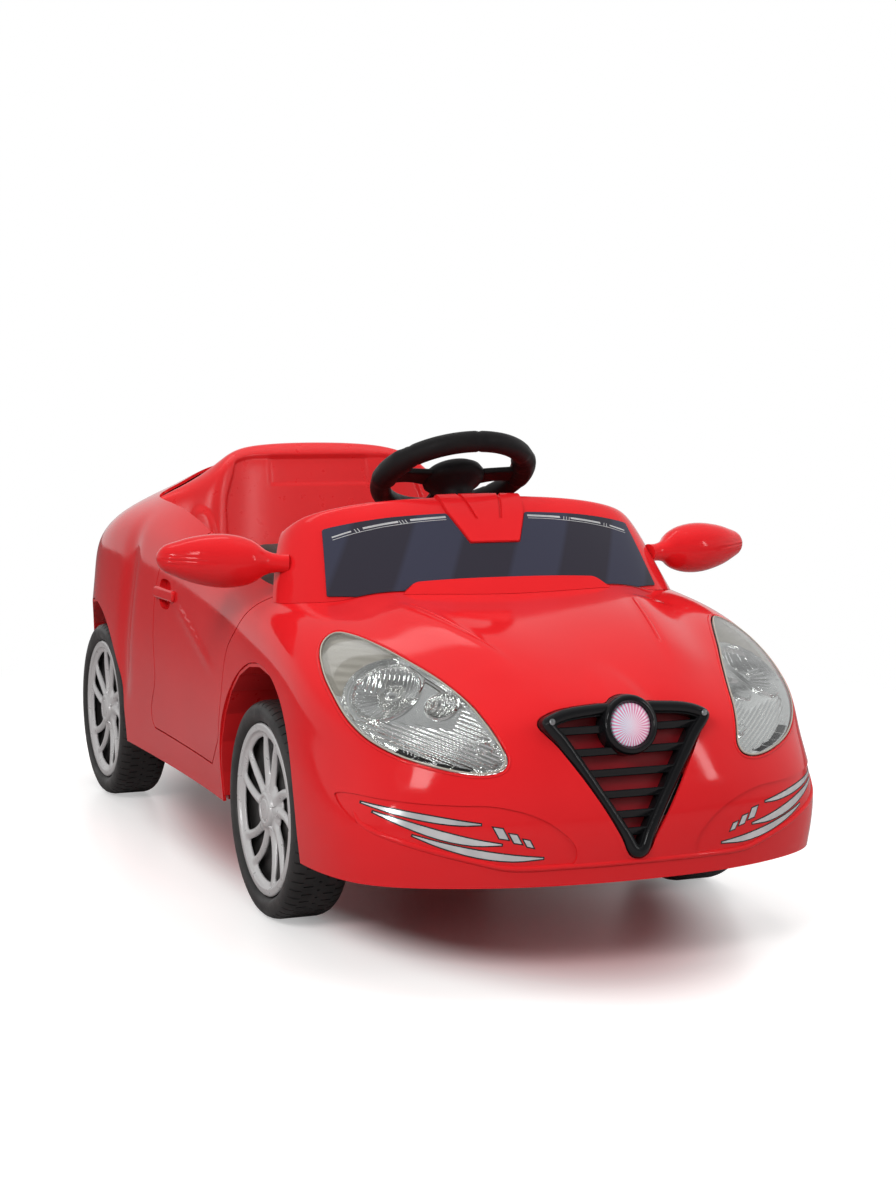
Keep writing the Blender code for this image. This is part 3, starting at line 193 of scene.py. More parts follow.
MATS = {
    "red": paint("red_gloss_plastic", (0.76, 0.017, 0.021), 0.16, Specular_IOR_Level=0.28,
                 spots=((7.0,), (0.70, 0.014, 0.018), 0.35, 0.75), gloss=((60.0, 5.0), 0.06, 0.12),
                 bumps=[((9.0, 1.0), 0.0012, 0.12), ((900.0, 2.0), 0.00003, 0.25)]),
    "satin": paint("red_satin_plastic", (0.74, 0.019, 0.022), 0.36,
                   spots=((9.0,), (0.66, 0.016, 0.019), 0.35, 0.8), gloss=((80.0, 5.0), 0.27, 0.30),
                   bumps=[((420.0, 2.0), 0.00005, 0.2)]),
    # Darkened red for the grille's backing: painted shade of the recess behind the bars
    "recess": paint("red_plastic_painted_shade", (0.30, 0.008, 0.014), 0.40, Specular_IOR_Level=0.3,
                    spots=((30.0,), (0.24, 0.006, 0.011)), gloss=((80.0, 5.0), 0.34, 0.50),
                    bumps=[((420.0, 2.0), 0.00005, 0.3)]),
    "black": paint("black_grained_plastic", (0.010, 0.009, 0.010), 0.42, Specular_IOR_Level=0.16,
                   spots=((40.0, 4.0), (0.013, 0.012, 0.012)), gloss=((120.0, 4.0), 0.36, 0.50),
                   bumps=[(1400.0, 0.00014, 0.7)]),
    "gloss": paint("black_gloss_plastic", (0.007, 0.007, 0.008), 0.13, Specular_IOR_Level=0.35,
                   gloss=((90.0, 4.0), 0.10, 0.20), bumps=[((24.0, 2.0), 0.0003, 0.15)]),
    "tyre": paint("tyre_plastic", (0.016, 0.015, 0.015), 0.46, spots=((30.0, 5.0), (0.030, 0.028, 0.027)),
                  gloss=((70.0, 5.0), 0.36, 0.58), bumps=[((1800.0, 2.0), 0.00012, 0.6)]),
    "silver": paint("silver_painted_plastic", (0.62, 0.61, 0.61), 0.33, 0.35, Coat_Weight=0.3,
                    Coat_Roughness=0.12, spots=((2600.0, 1.0), (0.74, 0.73, 0.73), 0.5, 0.75),
                    gloss=((140.0, 3.0), 0.26, 0.38), bumps=[((2600.0, 1.0), 0.00003, 0.5)]),
    "steel": paint("plated_steel", (0.50, 0.51, 0.52), 0.30, 1.0, spots=((60.0, 5.0), (0.36, 0.36, 0.37)),
                   gloss=((200.0, 4.0, (0.2, 1.0, 1.0)), 0.22, 0.42),
                   bumps=[((900.0, 2.0, (0.1, 1.0, 1.0)), 0.00005, 0.5)]),
    "chrome": paint("reflector_chrome", (0.94, 0.94, 0.92), 0.10, 1.0, gloss=((150.0, 3.0), 0.09, 0.18),
                    bumps=[((120.0, 2.0), 0.0002, 0.25)]),
    "pearl": paint("indicator_reflector", (0.50, 0.46, 0.39), 0.30, 0.25, Specular_IOR_Level=0.4,
                   bumps=[((90.0, 3.0), 0.0004, 0.4)]),
    "clear": paint("clear_lens", (0.97, 0.985, 0.99), 0.015, 0.0, Transmission_Weight=1.0, IOR=1.35,
                   bumps=[((22.0, 2.0), 0.0004, 0.15)]),
    "tail": paint("red_tail_lens", (0.50, 0.006, 0.010), 0.06, 0.0, Transmission_Weight=0.15, IOR=1.45,
                  bumps=[(260.0, 0.0005, 0.5)]),
    "mirror": paint("mirror_glass", (0.86, 0.87, 0.88), 0.02, 1.0, bumps=[((10.0, 1.0), 0.0001, 0.2)]),
    "film": film_material(),
    "pad": paint("dark_seat_vinyl", (0.050, 0.034, 0.031), 0.55, Sheen_Weight=0.25, Sheen_Roughness=0.4,
                 spots=((30.0, 5.0), (0.072, 0.052, 0.047)), gloss=((90.0, 4.0), 0.45, 0.66),
                 bumps=[(520.0, 0.00035, 0.8), ((2400.0, 2.0), 0.00008, 0.5)]),
    "badge": badge_material(),
    "foil": paint("silver_foil_print", (0.66, 0.67, 0.68), 0.24, 0.55,
                  spots=((45.0, 2.0), (0.80, 0.80, 0.81), 0.4, 0.62), bumps=[((60.0, 2.0), 0.0002, 0.2)]),
    "ink": paint("black_print", (0.015, 0.013, 0.014), 0.25, gloss=((80.0, 3.0), 0.2, 0.32)),
    # Near black for the slots along the headlight's lower edge: painted shade of the cavities
    "shade": paint("painted_slot_shade", (0.010, 0.009, 0.009), 0.8, bumps=[((500.0, 2.0), 0.0001, 0.4)]),
}


# Curves and outlines
def frame_at(centre, u, v):
    """A placement whose local X and Y run along u and v, at centre."""
    u, v = Vector(u).normalized(), Vector(v).normalized()
    placed = Matrix((u, v, u.cross(v))).transposed().to_4x4()
    placed.translation = Vector(centre)
    return placed


def at(x, y, z):
    return Matrix.Translation((x, y, z))


def side_frame(x, y=0.0, z=0.0):
    return frame_at((x, y, z), Y_AXIS, Z_AXIS)


def arc(centre, radius, start, end, steps):
    angles = [radians(start + (end - start) * i / steps) for i in range(steps + 1)]
    return [(centre[0] + radius * cos(a), centre[1] + radius * sin(a)) for a in angles]


def mirrored(outline):
    return [(-u, v) for u, v in reversed(outline)]


def flipped(outline, side):
    """The outline as it is on the left, or its mirror image on the right."""
    return [(side * u, v) for u, v in outline]


def side_box(side, low, high):
    """The box from low to high on the left, or its mirror image on the right."""
    near, far = sorted((side * low[0], side * high[0]))
    return (near, *low[1:]), (far, *high[1:])


def smoothstep(value, low, high):
    t = np.clip((value - low) / (high - low), 0.0, 1.0)
    return t * t * (3 - 2 * t)


def between(value, low, full, falling, gone):
    """Rises from 0 to 1 between low and full, and falls back between falling and gone."""
    return smoothstep(value, low, full) * (1 - smoothstep(value, falling, gone))


def bell(distance, width):
    return np.exp(-((distance / width) ** 2))


def hermite(t, a, slope_a, b, slope_b):
    """A smooth step from a to b with the given slopes, at share t."""
    return ((2 * t**3 - 3 * t**2 + 1) * a + (t**3 - 2 * t**2 + t) * slope_a
            + (3 * t**2 - 2 * t**3) * b + (t**3 - t**2) * slope_b)


def grow(outline, amount):
    """The outline moved outward by amount along its corners."""
    area = sum(a[0] * b[1] - b[0] * a[1] for a, b in zip(outline, outline[1:] + outline[:1]))
    side = 1 if area > 0 else -1
    grown = []
    for i, p in enumerate(outline):
        after = Vector(outline[(i + 1) % len(outline)])
        a = (Vector(p) - Vector(outline[i - 1])).normalized()
        b = (after - Vector(p)).normalized()
        normal = Vector((a.y + b.y, -a.x - b.x)).normalized() * side
        share = max(0.5, normal.dot(Vector((a.y, -a.x)) * side))
        grown.append((p[0] + normal.x * amount / share, p[1] + normal.y * amount / share))
    return grown


def rounded(outline, steps=4, keep=()):
    """A smooth closed curve through the outline's points. Corners whose index is in keep stay sharp."""
    count = len(outline)
    result = []
    for i in range(count):
        p0, p1, p2, p3 = (Vector(outline[(i + k) % count]) for k in (-1, 0, 1, 2))
        span = (p2 - p1).length
        start = (p2 - p1) if i in keep else (p2 - p0).normalized() * span
        end = (p2 - p1) if (i + 1) % count in keep else (p3 - p1).normalized() * span
        result += [tuple(hermite(k / steps, p1, start, p2, end)) for k in range(steps)]
    return result


def spline(points, steps=6):
    """A smooth open curve through points."""
    last = len(points) - 1
    result = []
    for i in range(last):
        p0, p1, p2, p3 = (Vector(points[min(max(i + k, 0), last)]) for k in (-1, 0, 1, 2))
        result += [hermite(k / steps, p1, (p2 - p0) / 2, p2, (p3 - p1) / 2) for k in range(steps)]
    return result + [Vector(points[last])]


def fillet(outline, radius, steps=5):
    """The closed outline with its corners rounded."""
    result = []
    for i, spot in enumerate(outline):
        corner, before = Vector(spot), Vector(outline[i - 1])
        after = Vector(outline[(i + 1) % len(outline)])
        start = corner + (before - corner).normalized() * min(radius, (before - corner).length * 0.45)
        end = corner + (after - corner).normalized() * min(radius, (after - corner).length * 0.45)
        for k in range(steps + 1):
            t = k / steps
            result.append(tuple(start * (1 - t) ** 2 + corner * (2 * t * (1 - t)) + end * t ** 2))
    return result


def ribbon(path, widths):
    """An outline that follows a path of (u, v) points with the given width at each."""
    points = [Vector(p) for p in path]
    upper, lower = [], []
    for i, (p, wide) in enumerate(zip(points, widths)):
        along = (points[min(i + 1, len(points) - 1)] - points[max(i - 1, 0)]).normalized()
        across = Vector((-along.y, along.x)) * (wide / 2)
        upper.append(tuple(p + across))
        lower.append(tuple(p - across))
    return upper + lower[::-1]


def smooth_curve(points):
    """A smooth function through (t, value) points."""
    ts = [p[0] for p in points]
    vs = [p[1] for p in points]
    slopes = []
    for i in range(len(ts)):
        lo, hi = max(i - 1, 0), min(i + 1, len(ts) - 1)
        slopes.append((vs[hi] - vs[lo]) / (ts[hi] - ts[lo]))

    def value(t):
        if t <= ts[0]:
            return vs[0] + slopes[0] * (t - ts[0])
        if t >= ts[-1]:
            return vs[-1] + slopes[-1] * (t - ts[-1])
        i = max(k for k in range(len(ts) - 1) if ts[k] <= t)
        h = ts[i + 1] - ts[i]
        return hermite((t - ts[i]) / h, vs[i], slopes[i] * h, vs[i + 1], slopes[i + 1] * h)

    return value


# Meshes
@contextmanager
def editing(mesh):
    """Opens the mesh for bmesh operations and then writes them back."""
    bm = bmesh.new()
    bm.from_mesh(mesh)
    yield bm
    bm.to_mesh(mesh)
    bm.free()


def grid(rows, columns, around=False, first=0):
    """Faces between points given row by row, from the index first. With around, both ways close."""
    faces = []
    for r in range(rows if around else rows - 1):
        a, b = first + r * columns, first + (r + 1) % rows * columns
        for c in range(columns if around else columns - 1):
            n = (c + 1) % columns
            faces.append((a + c, a + n, b + n, b + c))
    return faces


def mesh_of(points, faces):
    mesh = bpy.data.meshes.new("mesh")
    mesh.from_pydata([tuple(p) for p in points], [], faces)
    with editing(mesh) as bm:
        bmesh.ops.recalc_face_normals(bm, faces=bm.faces)
    return mesh


def add(mesh, placement=None):
    obj = bpy.data.objects.new("piece", mesh)
    bpy.context.scene.collection.objects.link(obj)
    if placement is not None:
        mesh.transform(placement)
    return obj


def evaluated(obj):
    """The object's mesh with its modifiers applied."""
    bpy.context.view_layer.update()
    depsgraph = bpy.context.evaluated_depsgraph_get()
    return bpy.data.meshes.new_from_object(obj.evaluated_get(depsgraph))


def settle(obj):
    """Applies the object's modifiers to its mesh."""
    mesh = evaluated(obj)
    obj.modifiers.clear()
    old = obj.data
    obj.data = mesh
    bpy.data.meshes.remove(old)
    return obj


def modify(obj, kind, **values):
    """Adds a modifier with the given settings."""
    made = obj.modifiers.new(kind, kind)
    for key, value in values.items():
        setattr(made, key, value)
    return made


def discard(*objs):
    for obj in objs:
        bpy.data.objects.remove(obj, do_unlink=True)


def carve(obj, *tools, operation="DIFFERENCE"):
    """Cuts, joins or keeps what the tools hold, and removes the tools."""
    for tool in tools:
        modify(obj, "BOOLEAN", operation=operation, solver="MANIFOLD", object=tool)
    settle(obj)
    discard(*tools)
    return obj


def thicken(obj, low, high):
    """A closed shell from low to high measured outward from the surface."""
    modify(obj, "SOLIDIFY", thickness=high - low, offset=(high + low) / (high - low))
    return settle(obj)


def subdivide(obj, levels):
    modify(obj, "SUBSURF", levels=levels, render_levels=levels)
    return settle(obj)


def soften(obj, width, segments, angle=40):
    modify(obj, "BEVEL", width=width, segments=segments, limit_method="ANGLE", angle_limit=radians(angle))
    return settle(obj)


def prism(outline, depth, placement):
    """A flat outline in local X and Y, made depth thick evenly about its plane."""
    mesh = bpy.data.meshes.new("prism")
    with editing(mesh) as bm:
        bm.faces.new([bm.verts.new((u, v, -depth / 2)) for u, v in outline])
        bmesh.ops.recalc_face_normals(bm, faces=bm.faces)
        made = bmesh.ops.extrude_face_region(bm, geom=list(bm.faces))
        lifted = [v for v in made["geom"] if isinstance(v, bmesh.types.BMVert)]
        bmesh.ops.translate(bm, verts=lifted, vec=(0, 0, depth))
        bmesh.ops.recalc_face_normals(bm, faces=bm.faces)
    return add(mesh, placement)


def block(size, placement=None):
    mesh = bpy.data.meshes.new("block")
    with editing(mesh) as bm:
        bmesh.ops.create_cube(bm, size=1.0, matrix=Matrix.Diagonal((*size, 1.0)))
    return add(mesh, placement)


def turned(profile, placement, steps=48, closed=False):
    """A profile of (radius, height) points turned about local Z."""
    points, faces, rings = [], [], []
    for r, h in profile:
        if r < 1e-6:
            points.append((0.0, 0.0, h))
            rings.append([len(points) - 1] * steps)
        else:
            first = len(points)
            points += [(r * cos(2 * pi * k / steps), r * sin(2 * pi * k / steps), h) for k in range(steps)]
            rings.append(list(range(first, first + steps)))
    if closed:
        rings.append(rings[0])
    for a, b in zip(rings, rings[1:]):
        for k in range(steps):
            n = (k + 1) % steps
            face = [a[k], b[k], b[n], a[n]]
            face = [v for i, v in enumerate(face) if v != face[i - 1]]
            if len(face) > 2:
                faces.append(face)
    return add(mesh_of(points, faces), placement)


def tube(points, radius, closed=False):
    """A round rod along points."""
    curve = bpy.data.curves.new("rod", "CURVE")
    curve.dimensions = "3D"
    curve.bevel_depth = radius
    curve.bevel_resolution = 3
    curve.use_fill_caps = True
    line = curve.splines.new("POLY")
    line.points.add(len(points) - 1)
    for spot, p in zip(line.points, points):
        spot.co = (*p, 1.0)
    line.use_cyclic_u = closed
    obj = bpy.data.objects.new("rod", curve)
    bpy.context.scene.collection.objects.link(obj)
    mesh = evaluated(obj)
    discard(obj)
    return add(mesh)


def finish(obj, name, key, sharp, body, *replaced, slot=None):
    """Paints the piece, shades it with edges above the angle sharp, or all smooth without one, and lets it
    ride on its CAD body in place of the nodes it replaces."""
    obj.name = name
    obj.data.materials.clear()
    obj.data.materials.append(MATS[key])
    obj.data.shade_smooth()
    if sharp:
        obj.data.set_sharp_from_angle(angle=radians(sharp))
        modify(obj, "WEIGHTED_NORMAL", keep_sharp=True)
        settle(obj)
    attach(obj, body)
    if replaced:
        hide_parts(*replaced)
    return obj


# Body feature lines, each a smooth function of the distance along the car
CENTRE_Z = smooth_curve([
    (-0.508, 0.224), (-0.457, 0.250), (-0.40, 0.268), (-0.33, 0.284), (-0.26, 0.298), (-0.19, 0.308),
    (0.315, 0.396), (0.36, 0.386), (0.41, 0.368), (0.45, 0.345), (0.505, 0.312)])
CREASE_X = smooth_curve([
    (-0.50, 0.050), (-0.45, 0.074), (-0.38, 0.095), (-0.31, 0.112), (-0.25, 0.124), (-0.18, 0.130),
    (0.28, 0.115), (0.50, 0.10)])
CREASE_Z = smooth_curve([
    (-0.50, 0.228), (-0.45, 0.257), (-0.38, 0.279), (-0.31, 0.294), (-0.25, 0.302), (-0.18, 0.308),
    (0.28, 0.390), (0.34, 0.384), (0.40, 0.362), (0.45, 0.335), (0.50, 0.305)])
VALLEY_X = smooth_curve([
    (-0.49, 0.095), (-0.43, 0.120), (-0.36, 0.135), (-0.30, 0.148), (-0.24, 0.160), (-0.17, 0.165),
    (0.26, 0.150), (0.48, 0.145)])
VALLEY_Z = smooth_curve([
    (-0.49, 0.220), (-0.43, 0.247), (-0.36, 0.270), (-0.30, 0.283), (-0.24, 0.290), (-0.17, 0.296),
    (0.26, 0.366), (0.33, 0.366), (0.39, 0.350), (0.44, 0.326), (0.48, 0.300)])
CREST_X = smooth_curve([
    (-0.46, 0.158), (-0.42, 0.178), (-0.36, 0.191), (-0.28, 0.198), (-0.20, 0.200), (-0.10, 0.200),
    (0.10, 0.197), (0.30, 0.198), (0.40, 0.196), (0.47, 0.188)])
CREST_Z = smooth_curve([
    (-0.46, 0.217), (-0.42, 0.237), (-0.36, 0.265), (-0.28, 0.285), (-0.20, 0.290), (-0.10, 0.306),
    (0.00, 0.327), (0.09, 0.352), (0.20, 0.356), (0.30, 0.349), (0.38, 0.334), (0.44, 0.310), (0.47, 0.290)])
SHOULDER_X = smooth_curve([
    (-0.44, 0.218), (-0.40, 0.230), (-0.35, 0.235), (-0.28, 0.234), (-0.20, 0.231), (-0.10, 0.226),
    (0.00, 0.222), (0.10, 0.223), (0.20, 0.231), (0.30, 0.236), (0.38, 0.233), (0.46, 0.214)])
SHOULDER_Z = smooth_curve([
    (-0.44, 0.199), (-0.40, 0.222), (-0.35, 0.247), (-0.28, 0.263), (-0.20, 0.272), (-0.10, 0.286),
    (0.00, 0.303), (0.10, 0.323), (0.20, 0.330), (0.30, 0.323), (0.38, 0.306), (0.46, 0.270)])
SIDE_X = smooth_curve([
    (-0.455, 0.234), (-0.40, 0.243), (-0.34, 0.245), (-0.28, 0.244), (-0.20, 0.241), (-0.10, 0.236),
    (0.00, 0.235), (0.10, 0.236), (0.20, 0.242), (0.30, 0.246), (0.38, 0.244), (0.44, 0.236), (0.478, 0.218)])
SILL_Z = smooth_curve([
    (-0.536, 0.082), (-0.44, 0.079), (-0.36, 0.078), (-0.12, 0.084), (0.22, 0.084), (0.40, 0.086),
    (0.54, 0.092)])
# Each station is a distance along the centre line and how far its row bows back at the sides
FRONT_STATIONS = [(-0.508, 1.60), (-0.458, 1.45), (-0.396, 1.28), (-0.328, 1.15), (-0.258, 1.0),
                  (-0.202, 0.7)]
COCKPIT_STATIONS = [-0.065, 0.130]
REAR_STATIONS = [(0.318, -0.95), (0.370, -0.90), (0.442, -1.05), (0.512, -1.35)]
NOSE_WALL = [(0.0, -0.5405), (0.080, -0.5340), (0.138, -0.5175), (0.192, -0.4915), (0.230, -0.4540)]
TAIL_WALL = [(0.0, 0.5425), (0.090, 0.5385), (0.150, 0.5275), (0.190, 0.5105), (0.217, 0.478)]
WALL_SHARES = [0.78, 0.40, 0.0]
WALL_IN = [0.0066, -0.0013, 0.007]


def top_point(station, bow, column):
    """A cage point of the hood or the rear deck: column 0 is the centre line and 4 the shoulder."""
    y = station
    for _ in range(4):
        x = [0.0, CREASE_X(y), VALLEY_X(y), CREST_X(y), SHOULDER_X(y)][column]
        y = station + bow * x * x
    z = [CENTRE_Z(y), CREASE_Z(y) + 0.0008, VALLEY_Z(y), CREST_Z(y), SHOULDER_Z(y)][column]
    return (x, y, z)


def lean_of(y, share):
    """How far the nose and tail walls lean back as they rise."""
    if y < -0.44:
        return 0.016 * max(share - 0.42, 0) / 0.43
    if y > 0.47:
        return 0.010 * max(share - 0.42, 0) / 0.43
    return 0.0


def body_cage():
    """Half of the body as an open cage of quads: hood, rear deck, cockpit rim, nose, side and tail walls."""
    points, faces = [], []

    def add(p):
        points.append(p)
        return len(points) - 1

    hood = [[add(top_point(y, bow, c)) for c in range(5)] for y, bow in FRONT_STATIONS]
    cockpit = [[add(top_point(y, 0.0, c)) for c in (3, 4)] for y in COCKPIT_STATIONS]
    deck = [[add(top_point(y, bow, c)) for c in range(5)] for y, bow in REAR_STATIONS]
    for block in (hood, deck):
        for a, b in zip(block, block[1:]):
            for c in range(4):
                faces.append((a[c], a[c + 1], b[c + 1], b[c]))
    strip = [hood[-1][3:]] + cockpit + [deck[0][3:]]
    for a, b in zip(strip, strip[1:]):
        faces.append((a[0], a[1], b[1], b[0]))
    # The wall runs from the middle of the nose round the side to the middle of the tail
    side_top = [row[4] for row in hood[1:]] + [row[1] for row in cockpit] + [row[4] for row in deck[:-1]]
    rim = list(hood[0]) + side_top + list(reversed(deck[-1]))
    plan = list(NOSE_WALL) + [(SIDE_X(points[v][1]), points[v][1]) for v in side_top]
    plan += list(reversed(TAIL_WALL))
    columns = []
    for k, (v, (px, py)) in enumerate(zip(rim, plan)):
        before, after = plan[max(k - 1, 0)], plan[min(k + 1, len(plan) - 1)]
        along = Vector((after[0] - before[0], after[1] - before[1])).normalized()
        outward = Vector((along.y, -along.x))
        if px == 0.0:
            outward = Vector((0, -1 if py < 0 else 1))
        top_z, low_z = points[v][2], SILL_Z(py)
        column = [v]
        for share, inward in zip(WALL_SHARES, WALL_IN):
            back = inward + lean_of(py, share)
            z = low_z + (top_z - low_z) * share
            column.append(add((px - outward.x * back, py - outward.y * back, z)))
        columns.append(column)
    for a, b in zip(columns, columns[1:]):
        for r in range(len(a) - 1):
            faces.append((a[r], a[r + 1], b[r + 1], b[r]))
    return points, faces


# Outlines on the body, as points on the left half of its surface
DOOR = [(-0.197, 0.306), (-0.184, 0.286), (-0.160, 0.258), (-0.137, 0.238), (-0.1295, 0.222),
        (-0.127, 0.190), (-0.117, 0.144), (-0.088, 0.1145), (0.118, 0.1165), (0.126, 0.124), (0.127, 0.138),
        (0.110, 0.168), (0.112, 0.190), (0.119, 0.215), (0.122, 0.262), (0.112, 0.292), (0.080, 0.318),
        (0.030, 0.331), (0.020, 0.372), (-0.197, 0.340)]
LENS = [(0.2067, -0.3313, 0.2598), (0.2150, -0.3600, 0.2430), (0.2153, -0.3858, 0.2271),
        (0.2114, -0.4145, 0.2084), (0.2006, -0.4381, 0.1939), (0.1813, -0.4636, 0.1830),
        (0.1555, -0.4872, 0.1764), (0.1306, -0.5016, 0.1733), (0.1133, -0.5069, 0.1764),
        (0.1074, -0.5055, 0.1840), (0.1091, -0.4989, 0.1946), (0.1158, -0.4832, 0.2115),
        (0.1232, -0.4586, 0.2273), (0.1353, -0.4268, 0.2419), (0.1497, -0.3946, 0.2535),
        (0.1641, -0.3609, 0.2635), (0.1789, -0.3311, 0.2700), (0.1915, -0.3199, 0.2700)]
LENS_AIM = Vector((0.66, -0.62, 0.42)).normalized()
TAIL_LENS = [(0.218, 0.455, 0.235), (0.214, 0.478, 0.252), (0.190, 0.505, 0.256), (0.150, 0.520, 0.254),
             (0.145, 0.525, 0.232), (0.160, 0.525, 0.214), (0.200, 0.505, 0.208), (0.216, 0.480, 0.214)]
TAIL_AIM = Vector((0.45, 0.89, 0.10)).normalized()
GRILLE_TILT = radians(13.5)
GRILLE_CENTRE = (0.0, -0.5185, 0.165)
# The sunk band of the bumper, seen from the front in X and Z
BAND = [(0.2290, 0.1500), (0.2236, 0.1538), (0.2044, 0.1527), (0.1750, 0.1509), (0.1483, 0.1502),
        (0.1198, 0.1492), (0.0860, 0.1390), (0.0600, 0.1190), (0.0560, 0.1040), (0.0650, 0.0985),
        (0.1092, 0.0981), (0.1380, 0.1044), (0.1761, 0.1146), (0.2059, 0.1243), (0.2215, 0.1330)]
# The plane in which the screen's film and trim are drawn, and their half outlines
SCREEN_ORIGIN = (0.0, -0.235, 0.335)
SCREEN_RISE = (0.0, 0.574, 0.819)
FILM = [(0.0, 0.0017), (0.0259, 0.0017), (0.0408, 0.0374), (0.1000, 0.0372), (0.1592, 0.0355),
        (0.1700, -0.0373), (0.1400, -0.0450), (0.1070, -0.0490), (0.0931, -0.0385), (0.0, -0.0385)]
TAB = [(0.0, 0.0025), (0.0253, 0.0025), (0.0404, 0.0388), (0.0440, 0.0640), (0.0, 0.0640)]
NOTCH = [(0.0205, 0.0680), (0.0245, 0.0680), (0.0140, 0.0290), (0.0110, 0.0290)]
STEP = [(0.0, -0.0393), (0.0922, -0.0393), (0.1080, -0.0520), (0.1080, -0.0640), (0.0, -0.0640)]


def project(points, aim, side):
    """The outline of the points seen along aim, in the plane through their middle, and its placement."""
    points_here = [Vector((p[0] * side, p[1], p[2])) for p in points]
    middle = sum(points_here, Vector()) / len(points_here)
    w = Vector((aim.x * side, aim.y, aim.z))
    u = Z_AXIS.cross(w).normalized()
    v = w.cross(u)
    outline = [((p - middle).dot(u), (p - middle).dot(v)) for p in points_here]
    return outline, frame_at(middle, u, v)


def arch(radius, centre_z, steps=12):
    """The wheel opening's outline in Y and Z about its axle: a round top on straight legs."""
    top = arc((0.0, centre_z), radius, 0, 180, steps)
    return top + [(-radius, 0.040), (radius, 0.040)]


FRONT_ARCH = (0.1225, 0.1125)
REAR_ARCH = (0.1290, 0.1010)


def grille_outline():
    """The grille's outer edge in its own plane: a wide top with round corners, closing to a low point."""
    half = [(0.0, -0.0655), (0.0085, -0.0620), (0.0160, -0.0480), (0.0650, 0.0300), (0.0770, 0.0450),
            (0.0785, 0.0510), (0.0732, 0.0565), (0.0550, 0.0620), (0.0250, 0.0645)]
    ring = arc((0.0, 0.0450), 0.0262, 48, 132, 6)
    return half + ring + mirrored(half[1:])


BAND_DEPTH = 0.0013
POCKET = [(0.0680, 0.2560), (0.0740, 0.2490), (0.0960, 0.2490), (0.1060, 0.2560), (0.1090, 0.2650),
          (0.1040, 0.2770), (0.0760, 0.2770), (0.0690, 0.2700)]
POCKET_DEPTH = 0.0075
HANDLE = [(-0.0330, -0.0040), (-0.0300, -0.0060), (0.0280, -0.0060), (0.0320, -0.0030), (0.0320, 0.0030),
          (0.0280, 0.0060), (-0.0300, 0.0060), (-0.0330, 0.0040)]


def screen_cage():
    """Half of the windscreen panel: the sloping front, the rolled top edge and the side return."""
    low = [(0.0, -0.2790, 0.2840), (0.060, -0.2780, 0.2840), (0.115, -0.2720, 0.2820),
           (0.163, -0.2595, 0.2765), (0.193, -0.2435, 0.2730), (0.2095, -0.2180, 0.2740),
           (0.2100, -0.1990, 0.2780)]
    top = [(0.0, -0.2060, 0.3790), (0.060, -0.2050, 0.3785), (0.115, -0.1990, 0.3745),
           (0.156, -0.1885, 0.3675), (0.177, -0.1760, 0.3595), (0.186, -0.1610, 0.3495),
           (0.187, -0.1500, 0.3455)]
    rise = [(0.0, -0.1880, 0.3835), (0.060, -0.1870, 0.3825), (0.113, -0.1800, 0.3780),
            (0.150, -0.1710, 0.3705), (0.167, -0.1620, 0.3630), (0.175, -0.1535, 0.3545),
            (0.177, -0.1480, 0.3505)]
    back = [(0.0, -0.1800, 0.3600), (0.058, -0.1790, 0.3600), (0.110, -0.1730, 0.3560),
            (0.143, -0.1640, 0.3480), (0.156, -0.1565, 0.3425), (0.162, -0.1505, 0.3380),
            (0.165, -0.1470, 0.3360)]
    return low + top + rise + back, grid(4, len(low))


# Body surface
def cage_mesh(points, faces, outside):
    """An open cage as a mesh whose normals point to the outside direction."""
    mesh = mesh_of(points, faces)
    if sum(f.normal.dot(outside) * f.area for f in mesh.polygons) < 0:
        mesh.flip_normals()
    mesh.shade_smooth()
    return mesh


def smooth_surface(mesh, levels):
    """A half cage as a dense smooth surface over the whole width."""
    obj = add(mesh)
    modify(obj, "MIRROR", merge_threshold=0.0001)
    return subdivide(obj, levels)


def triples(items, key):
    """A property of every item as rows of three numbers."""
    found = np.empty(len(items) * 3)
    items.foreach_get(key, found)
    return found.reshape(-1, 3)


def press(obj, depth_of):
    """Moves each vertex along its normal by depth_of(x, y, z), where x is measured from the middle."""
    co = triples(obj.data.vertices, "co")
    nn = triples(obj.data.vertex_normals, "vector")
    moved = co + nn * depth_of(np.abs(co[:, 0]), co[:, 1], co[:, 2])[:, None]
    obj.data.vertices.foreach_set("co", moved.ravel())
    obj.data.update()
    return obj


def line_distance(a, b, p, q):
    """Signed distance of points (a, b) from the line p to q, and the share along it."""
    along = np.array([q[0] - p[0], q[1] - p[1]])
    length = hypot(*along)
    along = along / length
    da, db = a - p[0], b - p[1]
    return da * along[1] - db * along[0], (da * along[0] + db * along[1]) / length


# Heights of the moulded relief, and the lines that it follows
HOOD_RISE = 0.0018
HOOD_EDGE = ((0.112, -0.300), (0.070, -0.455))
FAIRING_RISE = 0.0062
FAIRING_Y = -0.5050
DOOR_RIDGE = 0.0010
RIDGE_LINE = ((0.052, 0.258), (-0.095, 0.205))
REAR_HOLLOW = 0.0042
HOLLOW_Y = 0.222


